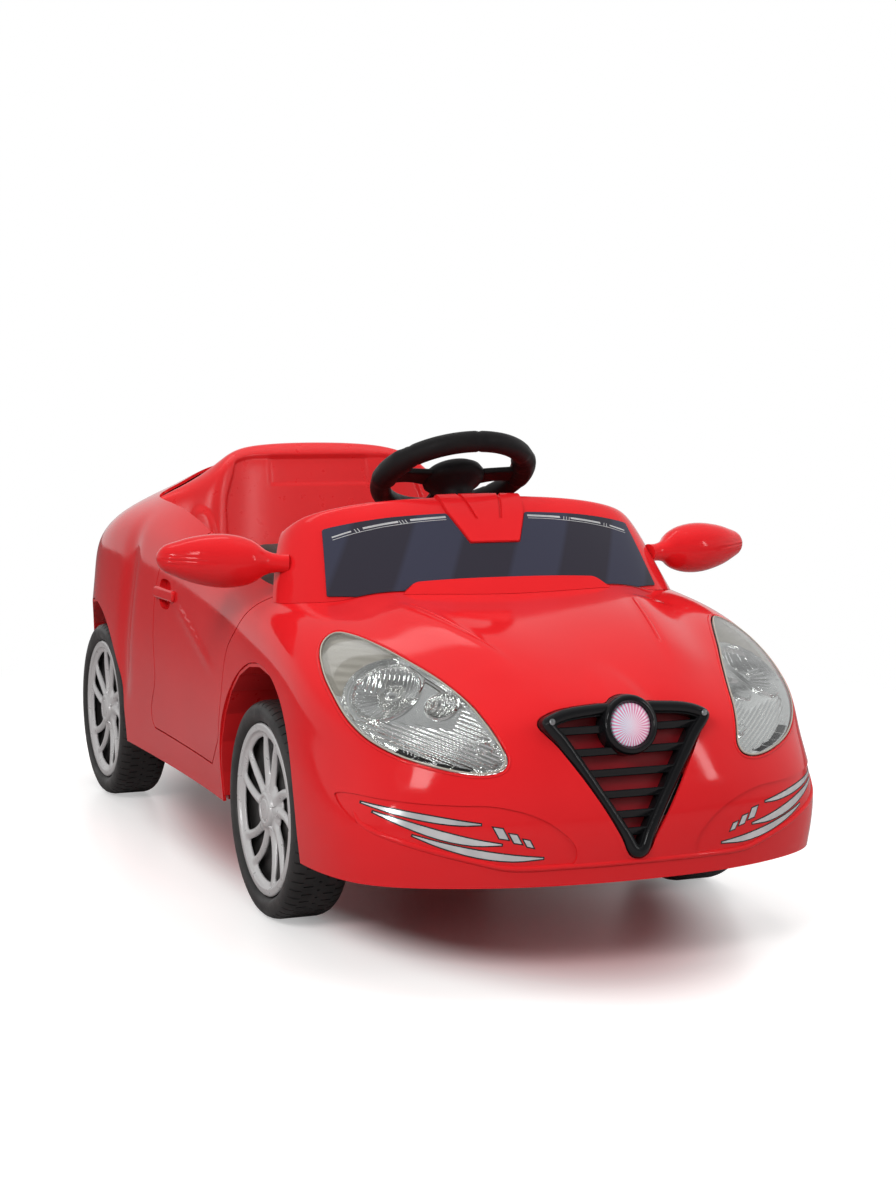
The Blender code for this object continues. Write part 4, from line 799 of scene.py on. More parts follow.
def body_relief(x, y, z):
    """The moulded relief on the hood, the fenders and the doors."""
    # The hood's raised middle, edged by the two creases that run from the screen to the grille
    off, share = line_distance(x, y, *HOOD_EDGE)
    on_top = smoothstep(z, 0.235, 0.250) * (y < -0.20)
    relief = (HOOD_RISE * between(off, -0.060, -0.006, -0.0055, 0.0055)
              * between(share, -0.10, 0.05, 0.70, 1.15) * on_top)
    # The fairing behind the badge
    back = np.clip((y - FAIRING_Y) / 0.060, 0.0, 1.0)
    width = 0.0190 * (1 - back) + 0.0075
    rise = FAIRING_RISE * (1 - back) ** 1.5 * np.exp(-((x / width) ** 4))
    relief += rise * (y > -0.53) * (y < -0.40) * (z > 0.19)
    # A soft ridge on the door from the handle forward and down
    off, share = line_distance(y, z, *RIDGE_LINE)
    relief += DOOR_RIDGE * bell(off, 0.0035) * between(share, 0.0, 0.15, 0.75, 1.05) * (x > 0.20)
    # The hollow between the door and the rear arch
    off = y - HOLLOW_Y + 0.10 * (z - 0.20)
    return relief - REAR_HOLLOW * bell(off, 0.0190) * between(z, 0.115, 0.160, 0.285, 0.350) * (x > 0.17)


def skin_of(surface, low, high, box=None):
    """A shell on a copy of the surface from low to high, kept to a box of lowest and highest corners."""
    obj = add(surface.data.copy())
    if box:
        with editing(obj.data) as bm:
            outside = [f for f in bm.faces if not all(lo <= c <= hi for lo, c, hi in
                                                      zip(box[0], f.calc_center_median(), box[1]))]
            bmesh.ops.delete(bm, geom=outside, context="FACES")
    return thicken(obj, low, high)


def inlay(surface, outline, low, high, depth, placement, box=None):
    """What lies inside a prism of the outline, depth thick, of a shell from low to high on the surface."""
    return carve(skin_of(surface, low, high, box), prism(outline, depth, placement), operation="INTERSECT")


def grille_place():
    return frame_at(GRILLE_CENTRE, X_AXIS, (0, sin(GRILLE_TILT), cos(GRILLE_TILT)))


def nose_plane():
    return frame_at((0, NOSE_PLANE_Y, 0.0), X_AXIS, Z_AXIS)


def rounded_door():
    return rounded(DOOR, 3, (6, 7, 8, 18, 19, 20))


# Boxes on the left that hold the stretch of surface that each piece is cut from
DOOR_BOX = ((0.10, -0.24, 0.08), (0.27, 0.16, 0.40))
BAND_BOX = ((0.0, -0.56, 0.07), (0.26, -0.40, 0.18))
TRIM_BOX = ((0.05, -0.56, 0.09), (0.26, -0.40, 0.17))
LENS_BOX = ((0.08, -0.53, 0.15), (0.24, -0.30, 0.29))
TAIL_BOX = ((0.12, 0.42, 0.18), (0.25, 0.56, 0.28))
FOOT_BOX = ((-0.26, -0.32, 0.2), (0.26, -0.10, 0.4))
# How far the tools reach past the surface that they cut
CLEAR = 0.012
THROUGH = 0.080


def make_body(surface):
    body = skin_of(surface, -SKIN, 0.0)
    tools = []
    for axle, (radius, height) in ((FRONT_AXLE_Y, FRONT_ARCH), (REAR_AXLE_Y, REAR_ARCH)):
        tools.append(prism(arch(radius, height, 48), 0.60, side_frame(0, axle)))
    tools.append(prism(rounded(grow(grille_outline(), 0.0006), 3), 0.060, grille_place()))
    for _, side in SIDES:
        tools.append(prism(rounded_door(), 0.10, side_frame(side * SIDE_PLANE_X)))
        for points, aim in ((LENS, LENS_AIM), (TAIL_LENS, TAIL_AIM)):
            outline, placement = project(points, aim, side)
            tools.append(prism(rounded(grow(outline, 0.0004), 5), THROUGH, placement))
        band = flipped(rounded(BAND), side)
        tools.append(inlay(surface, band, -BAND_DEPTH, CLEAR, 0.20, nose_plane(), side_box(side, *BAND_BOX)))
    carve(body, *tools)
    finish(body, "body", "red", 32, "chassis", "body_shell")


HANDLE_CENTRE = (0.2304, 0.0865, 0.2635)
HANDLE_THICK = 0.0085


def make_doors(surface):
    for label, side in SIDES:
        box = side_box(side, *DOOR_BOX)
        beside = side_frame(side * SIDE_PLANE_X)
        door = inlay(surface, grow(rounded_door(), -DOOR_GAP), -SKIN, 0.0, 0.098, beside, box)
        pocket = rounded(POCKET)
        wall = grow(pocket, 0.0025)
        carve(door, inlay(surface, wall, -POCKET_DEPTH - 0.002, -0.001, THROUGH, beside, box),
              operation="UNION")
        carve(door, inlay(surface, pocket, -POCKET_DEPTH, 0.010, THROUGH, beside, box))
        finish(door, f"door_panel_{label}", "red", 32, f"door_{label}", f"door_{label}")
        outward = Vector((0.992 * side, -0.040, 0.118)).normalized()
        along = Vector((0.040 * side, 0.999, 0.0)).normalized()
        x, y, z = HANDLE_CENTRE
        middle = Vector((x * side, y, z)) + outward * 0.0005
        outline = HANDLE if side > 0 else list(reversed(HANDLE))
        handle = prism(fillet(outline, 0.0030), HANDLE_THICK, frame_at(middle, along, outward.cross(along)))
        soften(handle, 0.0024, 4)
        carve(handle, skin_of(surface, -0.030, GAP, box))
        finish(handle, f"handle_bar_{label}", "red", 45, f"door_{label}", f"door_handle_{label}")


# Windscreen panel: the heights and insets of the raised tab and of the step at its foot
TAB_LAYERS = ((0.0022, 0.0), (0.0030, 0.0008))
STEP_LAYERS = ((0.0068, 0.0), (0.0076, 0.0007), (0.0080, 0.0016))
FILM_TOP = 0.0013
STRIPE_TOP = 0.00145
# Thick silver dashes and a thin line below them under the film's top edge, each with its width
DASHES = [([(0.0425, 0.0330), (0.0780, 0.0318)], 0.0022),
          ([(0.0900, 0.0311), (0.1055, 0.0300), (0.1240, 0.0283)], 0.0022),
          ([(0.1350, 0.0270), (0.1530, 0.0242)], 0.0016),
          ([(0.0425, 0.0300), (0.0700, 0.0292), (0.1055, 0.0270), (0.1330, 0.0242),
            (0.1530, 0.0212)], 0.0006)]
# Where short slanted bars break the dashes
TICKS = [(0.0810, 0.0314), (0.0840, 0.0312), (0.0870, 0.0310), (0.1270, 0.0278), (0.1300, 0.0275)]


def make_screen(surface):
    screen = smooth_surface(cage_mesh(*screen_cage(), Vector((0, -1, 1))), 5)
    tilt = frame_at(SCREEN_ORIGIN, X_AXIS, SCREEN_RISE)
    panel = skin_of(screen, -SKIN, 0.0)
    for half, radius, layers, place in ((TAB, 0.0030, TAB_LAYERS, tilt @ at(0, 0, 0.026)),
                                        (STEP, 0.0050, STEP_LAYERS, tilt)):
        outline = fillet(half + mirrored(half[1:-1]), radius)
        for height, shrink in layers:
            carve(panel, inlay(screen, grow(outline, -shrink), -0.001, height, THROUGH, place),
                  operation="UNION")
    for _, side in SIDES:
        carve(panel, inlay(screen, flipped(NOTCH, side), 0.0010, 0.0200, 0.100, tilt))
    carve(panel, skin_of(surface, -0.045, GAP, FOOT_BOX))
    finish(panel, "screen_panel", "red", 32, "chassis", "windscreen_panel")
    film = inlay(screen, fillet(FILM + mirrored(FILM[1:-1]), 0.0022), 2 * GAP, FILM_TOP, 0.060, tilt)
    carve(film, skin_of(surface, -0.045, 0.0010, FOOT_BOX))
    finish(film, "screen_print", "film", 40, "chassis", "windscreen_film")
    lines = [ribbon(path, [wide] * len(path)) for path, wide in DASHES]
    for u, v in TICKS:
        lines.append([(u, v - 0.0026), (u + 0.0007, v - 0.0026), (u + 0.0022, v + 0.0014),
                      (u + 0.0015, v + 0.0014)])
    for label, side in SIDES:
        for k, line in enumerate(lines):
            trim = inlay(screen, flipped(line, side), FILM_TOP, STRIPE_TOP, 0.060, tilt)
            finish(trim, f"screen_stripe_{label}_{k + 1}", "foil", 40, "chassis", slot="screen_film")
    discard(screen)


# Lights, in the plane of each headlight's lens: u towards the side of the car, v upwards
LAMP = (0.0232, 0.0100)
LAMP_R = 0.0272
BULB_R = 0.0072
BULB_RING_R = 0.0094
SIDE_LAMP = (-0.0280, 0.0025)
SIDE_LAMP_R = 0.0118
INDICATOR_R = 0.0345
PLATE_DEPTH = 0.0085
INDICATOR_DEPTH = 0.0060
EDGE_DEPTH = 0.0030
FLUTE_PITCH = 0.0036
LAMP_PITCH = 0.0040
SIDE_LAMP_PITCH = 0.0034
SLOT_PITCH = 0.0160
MESH_STEP = 0.0008
HOOD_CREASE = [(0.1120, -0.3000), (0.1000, -0.3440), (0.0880, -0.3880), (0.0770, -0.4280)]


def edge_distance(outline, u, v):
    """Distance of each point to the outline."""
    best = np.full(u.shape, 1.0)
    for a, b in zip(outline, outline[1:] + outline[:1]):
        dx, dy = b[0] - a[0], b[1] - a[1]
        t = np.clip(((u - a[0]) * dx + (v - a[1]) * dy) / (dx * dx + dy * dy), 0.0, 1.0)
        best = np.minimum(best, np.hypot(u - a[0] - t * dx, v - a[1] - t * dy))
    return best


def lamp_depth(u, v, edge):
    """How far behind the lens the reflector lies, with its bowls, rims and flutes."""
    along = 0.972 * v - 0.236 * u
    fluted = smoothstep(-v, 0.017, 0.021) + smoothstep(-u, 0.043, 0.047)
    depth = PLATE_DEPTH + 0.0007 * np.cos(2 * pi * along / FLUTE_PITCH) * np.clip(fluted, 0, 1)
    # The indicator's field beyond the large lamp, and the rim between them
    du, dv = u - LAMP[0], v - LAMP[1]
    rho = np.hypot(du, dv)
    beyond = smoothstep(rho, INDICATOR_R - 0.0006, INDICATOR_R + 0.0006) * (u > 0.020) * (v > -0.004)
    depth = depth * (1 - beyond) + (INDICATOR_DEPTH + 0.0003 * np.sin(v * 700.0)) * beyond
    depth -= 0.0030 * bell(rho - INDICATOR_R, 0.0011) * (u > 0.020) * (v > -0.008)
    # The large lamp: a fluted bowl with a fan below and upright ribs above, its rim, bulb and ring
    bowl = PLATE_DEPTH + 0.0150 * (1 - (rho / LAMP_R) ** 2)
    upright = 0.0009 * np.cos(2 * pi * du / LAMP_PITCH) * smoothstep(dv, -0.002, 0.002)
    fan = (0.0009 * np.cos(30 * np.arctan2(dv, du)) * smoothstep(-dv, -0.002, 0.002)
           * smoothstep(rho, 0.008, 0.012))
    bowl += (upright + fan) * smoothstep(LAMP_R - rho, 0.0, 0.003)
    depth = np.where(rho < LAMP_R, bowl, depth)
    depth -= 0.0035 * bell(rho - LAMP_R - 0.0010, 0.0013)
    bulb = 0.0235 - 0.0080 * np.sqrt(np.clip(1 - (rho / BULB_R) ** 2, 0, 1))
    depth = np.where(rho < BULB_R, np.minimum(bulb, depth), depth)
    depth -= 0.0040 * bell(rho - BULB_RING_R, 0.0010)
    # The small lamp and the round boss in the tail of the teardrop
    du, dv = u - SIDE_LAMP[0], v - SIDE_LAMP[1]
    rho = np.hypot(du, dv)
    bowl = (PLATE_DEPTH + 0.0100 * (1 - (rho / SIDE_LAMP_R) ** 2)
            + 0.0005 * np.cos(2 * pi * du / SIDE_LAMP_PITCH))
    depth = np.where(rho < SIDE_LAMP_R, bowl, depth)
    depth -= 0.0028 * bell(rho - SIDE_LAMP_R - 0.0006, 0.0010)
    boss = np.hypot((u + 0.073) / 1.6, v + 0.029)
    depth -= 0.0030 * smoothstep(0.0055 - boss, 0.0, 0.0015)
    return EDGE_DEPTH + (depth - EDGE_DEPTH) * smoothstep(edge, 0.0006, 0.0050)


def make_reflector(label, side, tree):
    outline, placement = project(LENS, LENS_AIM, side)
    outline = rounded(grow(outline, -0.0008), 5)
    flat = flipped(outline, side)
    us, vs = (np.arange(min(axis) - 0.002, max(axis) + 0.002, MESH_STEP) for axis in zip(*flat))
    uu, vv = np.meshgrid(us, vs)
    depth = lamp_depth(uu, vv, edge_distance(flat, uu, vv))
    inward = -(placement.to_3x3() @ Z_AXIS)
    points, index = [], {}
    for i in range(len(vs)):
        for j in range(len(us)):
            hit = tree.ray_cast(placement @ Vector((side * us[j], vs[i], 0.080)), inward, 0.16)
            if hit[0] is not None:
                index[i, j] = len(points)
                points.append(hit[0] + inward * float(depth[i, j]))
    faces = []
    for i, j in index:
        ring = [(i, j), (i, j + 1), (i + 1, j + 1), (i + 1, j)]
        if all(spot in index for spot in ring):
            faces.append([index[spot] for spot in ring])
    obj = add(mesh_of(points, faces))
    if sum(f.normal.dot(inward) for f in obj.data.polygons) > 0:
        obj.data.flip_normals()
    thicken(obj, -0.0014, 0.0)
    carve(obj, prism(outline, 0.160, placement), operation="INTERSECT")
    finish(obj, f"headlight_bowl_{label}", "chrome", 60, "chassis", f"headlight_reflector_{label}")
    # The indicator's field is matt, and along the lower edge the slots' shade is painted on as near-black
    # faces
    for key in ("pearl", "shade"):
        obj.data.materials.append(MATS[key])
    back = placement.inverted()
    spots = np.array([back @ face.center for face in obj.data.polygons])
    u, v = side * spots[:, 0], spots[:, 1]
    edge = edge_distance(flat, u, v)
    indicator = (np.hypot(u - LAMP[0], v - LAMP[1]) > INDICATOR_R + 0.0012) & (u > 0.020) & (v > 0.0)
    # Faces on which the slots' shade is painted
    slot_shade_mask = (edge > 0.0016) & (edge < 0.0052) & (v < -0.020) & (u < -0.003) & (u > -0.0675)
    slot_shade_mask &= (u + 0.003) % SLOT_PITCH < 0.0146
    kinds = np.where(indicator, 1, np.where(slot_shade_mask, 2, 0))
    obj.data.polygons.foreach_set("material_index", kinds.astype(np.int32))


def bead(name, tree, line, placement, radius, lift, closed=True, key="red"):
    """A thin raised line moulded on the surface, along a line drawn in a plane in front of it."""
    inward = -(placement.to_3x3() @ Z_AXIS)
    points = []
    for i, (u, v) in enumerate(line):
        hit = tree.ray_cast(placement @ Vector((u, v, 0.120)), inward, 0.24)
        sunk = 0.0 if closed else radius * abs(2 * i / (len(line) - 1) - 1) ** 6
        if hit[0] is not None:
            points.append(hit[0] + hit[1] * (lift - sunk))
    finish(tube(points, radius, closed), name, key, None, "chassis")


LIP_R = 0.0026
RIM_R = 0.0012
BUMPER_LIP = [(0.0, 0.0985), (0.0300, 0.0983), (0.0650, 0.0980), (0.1092, 0.0978), (0.1380, 0.1040),
              (0.1761, 0.1141), (0.2059, 0.1238), (0.2180, 0.1310), (0.2215, 0.1400)]
REAR_LIP = [(0.0, 0.1120), (0.0500, 0.1122), (0.1000, 0.1130), (0.1400, 0.1150), (0.1700, 0.1180)]


def make_lights(surface):
    tree = BVHTree.FromObject(surface, bpy.context.evaluated_depsgraph_get())
    bead("bumper_lip", tree, spline(mirrored(BUMPER_LIP[1:]) + BUMPER_LIP), nose_plane(), LIP_R, -0.0012,
         False)
    for label, side in SIDES:
        make_reflector(label, side, tree)
        outline, placement = project(LENS, LENS_AIM, side)
        bead(f"headlight_lip_{label}", tree, rounded(grow(outline, 0.0018), 5), placement, RIM_R, -0.0003)
        rim = rounded(grow(outline, -0.0012), 5)
        bead(f"headlight_rim_{label}", tree, rim, placement, 0.0008, 0.0004, key="pearl")
        crease = spline([(side * x, -y) for x, y in HOOD_CREASE])
        hood = frame_at((0, 0, 0.30), X_AXIS, -Y_AXIS)
        bead(f"hood_crease_{label}", tree, crease, hood, 0.0022, -0.0012, False)
        pane = rounded(grow(outline, -0.0005), 5)
        lens = inlay(surface, pane, -0.0018, 0.0006, THROUGH, placement, side_box(side, *LENS_BOX))
        finish(lens, f"headlight_cover_{label}", "clear", 40, "chassis", f"headlight_lens_{label}")
        outline, placement = project(TAIL_LENS, TAIL_AIM, side)
        pane = rounded(grow(outline, -0.0006))
        tail = inlay(surface, pane, -0.0040, 0.0008, THROUGH, placement, side_box(side, *TAIL_BOX))
        finish(tail, f"tail_cover_{label}", "tail", 40, "chassis", f"tail_light_{label}")
        bead(f"tail_lip_{label}", tree, rounded(grow(outline, 0.0018)), placement, RIM_R, -0.0003)
    rear = frame_at((0, 0.600, 0), -X_AXIS, Z_AXIS)
    bead("rear_lip", tree, spline(mirrored(REAR_LIP[1:]) + REAR_LIP), rear, LIP_R, -0.0012, False)


# Grille and badge
GRILLE_BARS = [0.0430, 0.0245, 0.0065, -0.0115, -0.0285, -0.0430]
# Corners of the grille's outline that stay sharp
GRILLE_CORNERS = (8, 15)
BAR_SECTION = [(-0.0060, 0.0026), (0.0046, 0.0034), (0.0058, 0.0024), (0.0020, -0.0034), (-0.0060, -0.0034)]
# Section of the surround as (distance in from the outer edge, height)
SURROUND = [(0.0000, -0.0080), (0.0000, 0.0012), (0.0010, 0.0038), (0.0030, 0.0060), (0.0055, 0.0068),
            (0.0080, 0.0060), (0.0094, 0.0044), (0.0098, 0.0030), (0.0106, 0.0030), (0.0110, 0.0010),
            (0.0110, -0.0080)]
# Turned profiles, as (radius, height)
SCREW = [(0.0, 0.0016), (0.0016, 0.0015), (0.0026, 0.0006), (0.0028, -0.0020), (0.0, -0.0020)]
SCREW_AT = (0.0712, 0.0512)
COLLAR = [(0.0185, 0.0062), (0.0190, 0.0090), (0.0206, 0.0106), (0.0228, 0.0104), (0.0246, 0.0086),
          (0.0256, 0.0050), (0.0258, -0.0060), (0.0185, -0.0060)]
BADGE = [(0.0, 0.0092), (0.0080, 0.0090), (0.0140, 0.0084), (0.0178, 0.0074), (0.0186, 0.0066),
         (0.0186, 0.0040), (0.0, 0.0040)]
BADGE_V = 0.0450


def resample(outline, count):
    """The closed outline as count points evenly along its length."""
    points = [Vector(p) for p in outline]
    lengths = [(b - a).length for a, b in zip(points, points[1:] + points[:1])]
    total = sum(lengths)
    result, k, done = [], 0, 0.0
    for i in range(count):
        target = total * i / count
        while done + lengths[k] < target:
            done += lengths[k]
            k += 1
        a, b = points[k], points[(k + 1) % len(points)]
        result.append(a.lerp(b, (target - done) / lengths[k]))
    return result


def half_width(outline, height):
    """How far the outline reaches from its middle at one height."""
    reach = 0.0
    for a, b in zip(outline, outline[1:] + outline[:1]):
        if min(a[1], b[1]) <= height <= max(a[1], b[1]) and a[1] != b[1]:
            share = (height - a[1]) / (b[1] - a[1])
            reach = max(reach, abs(a[0] + share * (b[0] - a[0])))
    return reach


def make_grille():
    placement = grille_place()
    ring = resample(rounded(grille_outline(), 5, GRILLE_CORNERS), 260)
    points = []
    for i, p in enumerate(ring):
        along = (ring[(i + 1) % len(ring)] - ring[i - 1]).normalized()
        inward = Vector((-along.y, along.x))
        if inward.dot(-p) < 0:
            inward = -inward
        points += [(p.x + inward.x * off, p.y + inward.y * off, h) for off, h in SURROUND]
    surround = add(mesh_of(points, grid(len(ring), len(SURROUND), True)), placement)
    finish(surround, "grille_surround", "gloss", 45, "chassis", "grille_frame")
    inner = rounded(grow(grille_outline(), -0.0085), 5, GRILLE_CORNERS)
    along_z = frame_at((0, 0, 0), Z_AXIS, Y_AXIS)
    for k, v in enumerate(GRILLE_BARS):
        bar = prism(fillet(BAR_SECTION, 0.0009, 3), 2 * half_width(inner, v), along_z)
        bar.data.transform(placement @ at(0, v, -0.0020))
        finish(bar, f"grille_bar_{k + 1}", "gloss", 50, "chassis")
    for label, side in SIDES:
        u, v = SCREW_AT
        screw = turned(SCREW, placement @ at(side * u, v, 0.0062), 32)
        carve(screw, block((0.0040, 0.0006, 0.0010), placement @ at(side * u, v, 0.0078)))
        finish(screw, f"grille_screw_{label}", "steel", 40, "chassis")
    hub = placement @ at(0, BADGE_V, 0.0)
    finish(turned(COLLAR, hub, 96, True), "badge_collar", "gloss", 45, "chassis")
    finish(turned(BADGE, hub, 96), "badge_disc", "badge", 50, "chassis", "grille_badge")


# Door mirrors: radii of the pod along its length, from the screen out to its tip
POD = smooth_curve([(0.0, 0.0095), (0.08, 0.0090), (0.17, 0.0120), (0.26, 0.0200), (0.38, 0.0250),
                    (0.54, 0.0262), (0.74, 0.0220), (0.90, 0.0150)])
POD_STATIONS = [0.0, 0.03, 0.06, 0.09, 0.12, 0.15, 0.18, 0.21, 0.24, 0.27, 0.30, 0.34, 0.38, 0.43, 0.48,
                0.53, 0.58, 0.63, 0.68, 0.73, 0.78, 0.82, 0.86, 0.90, 0.93, 0.955, 0.975, 0.990, 0.998]
POD_ROOT = (0.1900, -0.1900, 0.3200)
POD_TIP = (0.3090, -0.1640, 0.3260)
POD_STEPS = 96
RIDGE_PITCH = 0.0042
RIDGE_DEPTH = 0.0007
SEAM_DEPTH = 0.0008
GLASS_RECESS = [(0.0, 0.0400), (0.0330, 0.0400), (0.0330, 0.0010), (0.0315, 0.0), (0.0, 0.0)]


def pod_radius(share, angle):
    """Radius of the pod with the fine ridges at its outer front and the seam along its back."""
    if share < 0.90:
        radius = POD(share)
    else:
        radius = 0.0150 * sqrt(max(1 - ((share - 0.84) / 0.161) ** 2, 0.0)) / 0.9277
    lift = sin(angle) * radius
    zone = between(share, 0.50, 0.70, 0.93, 0.97) * (abs(lift) < 0.0080) * (cos(angle) > 0)
    ridge = (0.5 + 0.5 * cos(2 * pi * lift / RIDGE_PITCH)) ** 4
    seam = share > 0.30 and abs(cos(angle) * radius + 0.0060) < 0.0007
    return radius - RIDGE_DEPTH * ridge * zone - SEAM_DEPTH * seam


def make_mirrors():
    for label, side in SIDES:
        root, tip = (Vector((side * x, y, z)) for x, y, z in (POD_ROOT, POD_TIP))
        length = (tip - root).length
        along = (tip - root).normalized()
        front = (-Y_AXIS + along * along.y).normalized()
        points = [(0.0, 0.0, 0.0)]
        for share in POD_STATIONS:
            for k in range(POD_STEPS):
                angle = 2 * pi * k / POD_STEPS
                r = pod_radius(share, angle)
                flat = 1 - 0.05 * abs(sin(angle))
                points.append((r * cos(angle), r * sin(angle) * flat, share * length))
        last = len(points) - POD_STEPS
        points.append((0.0, 0.0, length))
        faces = []
        for k in range(POD_STEPS):
            n = (k + 1) % POD_STEPS
            faces += [(0, 1 + n, 1 + k), (last + k, last + n, len(points) - 1)]
            for row in range(1, last, POD_STEPS):
                faces.append((row + k, row + n, row + POD_STEPS + n, row + POD_STEPS + k))
        housing = add(mesh_of(points, faces), frame_at(root, front, along.cross(front)))
        recess = frame_at(root.lerp(tip, 0.55) + Vector((0, 0.0150, 0)), X_AXIS, Z_AXIS)
        cutter = turned(GLASS_RECESS, recess @ Matrix.Diagonal((1.0, 0.62, -1.0, 1.0)), 64)
        cutter.data.flip_normals()
        carve(housing, cutter)
        finish(housing, f"mirror_shell_{label}", "red", 38, "chassis", f"mirror_housing_{label}")


# Steering wheel: the angles of its grips, of the thin grooves round the rim and of the spokes
RIM_RADIUS = 0.0723
RIM_THICK = 0.0103
GRIPS = (12, 168)
GROOVES = (38, 142, 218, 322, 90)
SPOKES = (6, 174, 270)
SPOKE_SIZE = (0.0440, 0.0200, 0.0080)
HUB = [(0.0200, 0.0064), (0.0215, 0.0072), (0.0245, 0.0066), (0.0290, 0.0035), (0.0312, -0.0010),
       (0.0306, -0.0060), (0.0260, -0.0108), (0.0180, -0.0160), (0.0150, -0.0220), (0.0140, -0.0300),
       (0.0064, -0.0300), (0.0064, -0.0040), (0.0200, -0.0040)]
HORN = [(0.0, 0.0122), (0.0060, 0.0119), (0.0120, 0.0108), (0.0165, 0.0086), (0.0187, 0.0058),
        (0.0192, 0.0036), (0.0192, 0.0024), (0.0, 0.0024)]


def nearest(angle, middles):
    """How many degrees away the nearest of the given angles is."""
    return min(abs((np.degrees(angle) - middle + 180) % 360 - 180) for middle in middles)


def rim_mesh():
    """The rim, thicker and finger-dented at the grips."""
    around, across = 144, 28
    points = []
    for i in range(around):
        angle = 2 * pi * i / around
        grip = 1 - smoothstep(nearest(angle, GRIPS), 15, 20)
        thick = RIM_THICK + 0.0011 * grip - 0.0008 * bell(nearest(angle, GROOVES), 0.9)
        for j in range(across):
            turn = 2 * pi * j / across
            dent = 0.0007 * grip * (0.5 + 0.5 * cos(angle * 60)) * (cos(turn) < 0.2)
            r = thick - dent + 0.0022 * grip * max(-cos(turn), 0) ** 2
            out = RIM_RADIUS + r * cos(turn)
            points.append((out * cos(angle), out * sin(angle), r * sin(turn)))
    return mesh_of(points, grid(around, across, True))


def make_steering():
    placement = frame_at(WHEEL_CENTRE, -X_AXIS, STEER_UP)
    finish(add(rim_mesh(), placement), "steering_rim", "black", 60, "steering", "steering_wheel")
    finish(turned(HUB, placement, 72, True), "steering_hub", "black", 45, "steering")
    for k, angle in enumerate(SPOKES):
        spoke = block(SPOKE_SIZE)
        with editing(spoke.data) as bm:
            bmesh.ops.subdivide_edges(bm, edges=bm.edges, cuts=3, use_grid_fill=True)
            for vert in bm.verts:
                share = 2 * vert.co.x / SPOKE_SIZE[0]
                vert.co.y *= 1.0 + 0.35 * share * share
                vert.co.z += (0.0015 * (1 - share * share)
                              - 0.0020 * (abs(vert.co.y) > 0.0075) * (vert.co.z > 0))
        subdivide(spoke, 2)
        spoke.data.transform(placement @ Matrix.Rotation(radians(angle), 4, "Z") @ at(0.0470, 0, -0.0020))
        finish(spoke, f"steering_spoke_{k + 1}", "black", 60, "steering")
    finish(turned(HORN, placement @ at(0, 0, 0.0014), 72), "horn_cap", "red", 50, "horn", "horn_button")


# Wheels: section of the tyre and profile of the hub cap, as (radius, height towards the outside)
TREAD = [0.0165, 0.0150, 0.0145, 0.0060, 0.0055, 0.0015, 0.0010]
TYRE = [(0.0815, 0.0250), (0.0835, 0.0268), (0.0860, 0.0277), (0.0890, 0.0280), (0.0925, 0.0276),
        (0.0955, 0.0262), (0.0978, 0.0236), (0.0992, 0.0205), (0.0999, 0.0170),
        *[(WHEEL_R, h) for h in TREAD], *[(WHEEL_R, -h) for h in reversed(TREAD)],
        (0.0999, -0.0170), (0.0992, -0.0205), (0.0978, -0.0236), (0.0955, -0.0262), (0.0925, -0.0276),
        (0.0890, -0.0280), (0.0760, -0.0250), (0.0740, 0.0060), (0.0200, 0.0060), (0.0160, -0.0220),
        (0.0056, -0.0220), (0.0056, 0.0130), (0.0740, 0.0140)]
TREAD_R = 0.0975
TREAD_PITCHES = 60
# Shares of a pitch at which a groove begins, deepens and ends: first across the middle, then the ribs
TREAD_SHARES = [0.0, 0.03, 0.14, 0.17, 0.50, 0.53, 0.64, 0.67]
GROOVE_DEPTH = 0.0013
HUB_CAP = [(0.0, 0.0246), (0.0084, 0.0245), (0.0096, 0.0241), (0.0102, 0.0233), (0.0114, 0.0233),
           (0.0120, 0.0242), (0.0132, 0.0245), (0.0150, 0.0242), (0.0166, 0.0230), (0.0176, 0.0205),
           (0.0, 0.0205)]
# The cover's rings as (radius, height), and a spoke's section as (share of its width, height)
COVER_RINGS = [(0.0080, 0.0216), (0.0160, 0.0213), (0.0215, 0.0201), (0.0270, 0.0196), (0.0330, 0.0196),
               (0.0400, 0.0198), (0.0500, 0.0206), (0.0600, 0.0216), (0.0660, 0.0222), (0.0700, 0.0228),
               (0.0712, 0.0234), (0.0722, 0.0253), (0.0732, 0.0256), (0.0775, 0.0256), (0.0785, 0.0252),
               (0.0800, 0.0236)]
SPOKE_SECTION = [(-0.5, -0.0030), (-0.30, -0.0004), (0.0, 0.0016), (0.30, -0.0004), (0.5, -0.0030)]
SPOKE_PAIRS = 5
HUB_R = 0.0215
GAP_REACH = (0.0320, 0.0640)
WIDE_REACH = (0.0260, 0.0640)


def tyre_mesh():
    """The tyre's section turned about its axle, with staggered cross grooves moulded into the tread."""
    points = []
    for k in range(TREAD_PITCHES):
        for m, share in enumerate(TREAD_SHARES):
            angle = 2 * pi * (k + share) / TREAD_PITCHES
            for r, h in TYRE:
                middle = 0.0165 <= abs(h) <= 0.0240 or abs(h) <= 0.0010
                rib = 0.0060 <= abs(h) <= 0.0145
                if r > TREAD_R and (m in (1, 2) and middle or m in (5, 6) and rib):
                    r -= GROOVE_DEPTH
                points.append((r * cos(angle), r * sin(angle), h))
    return mesh_of(points, grid(TREAD_PITCHES * len(TREAD_SHARES), len(TYRE), True))


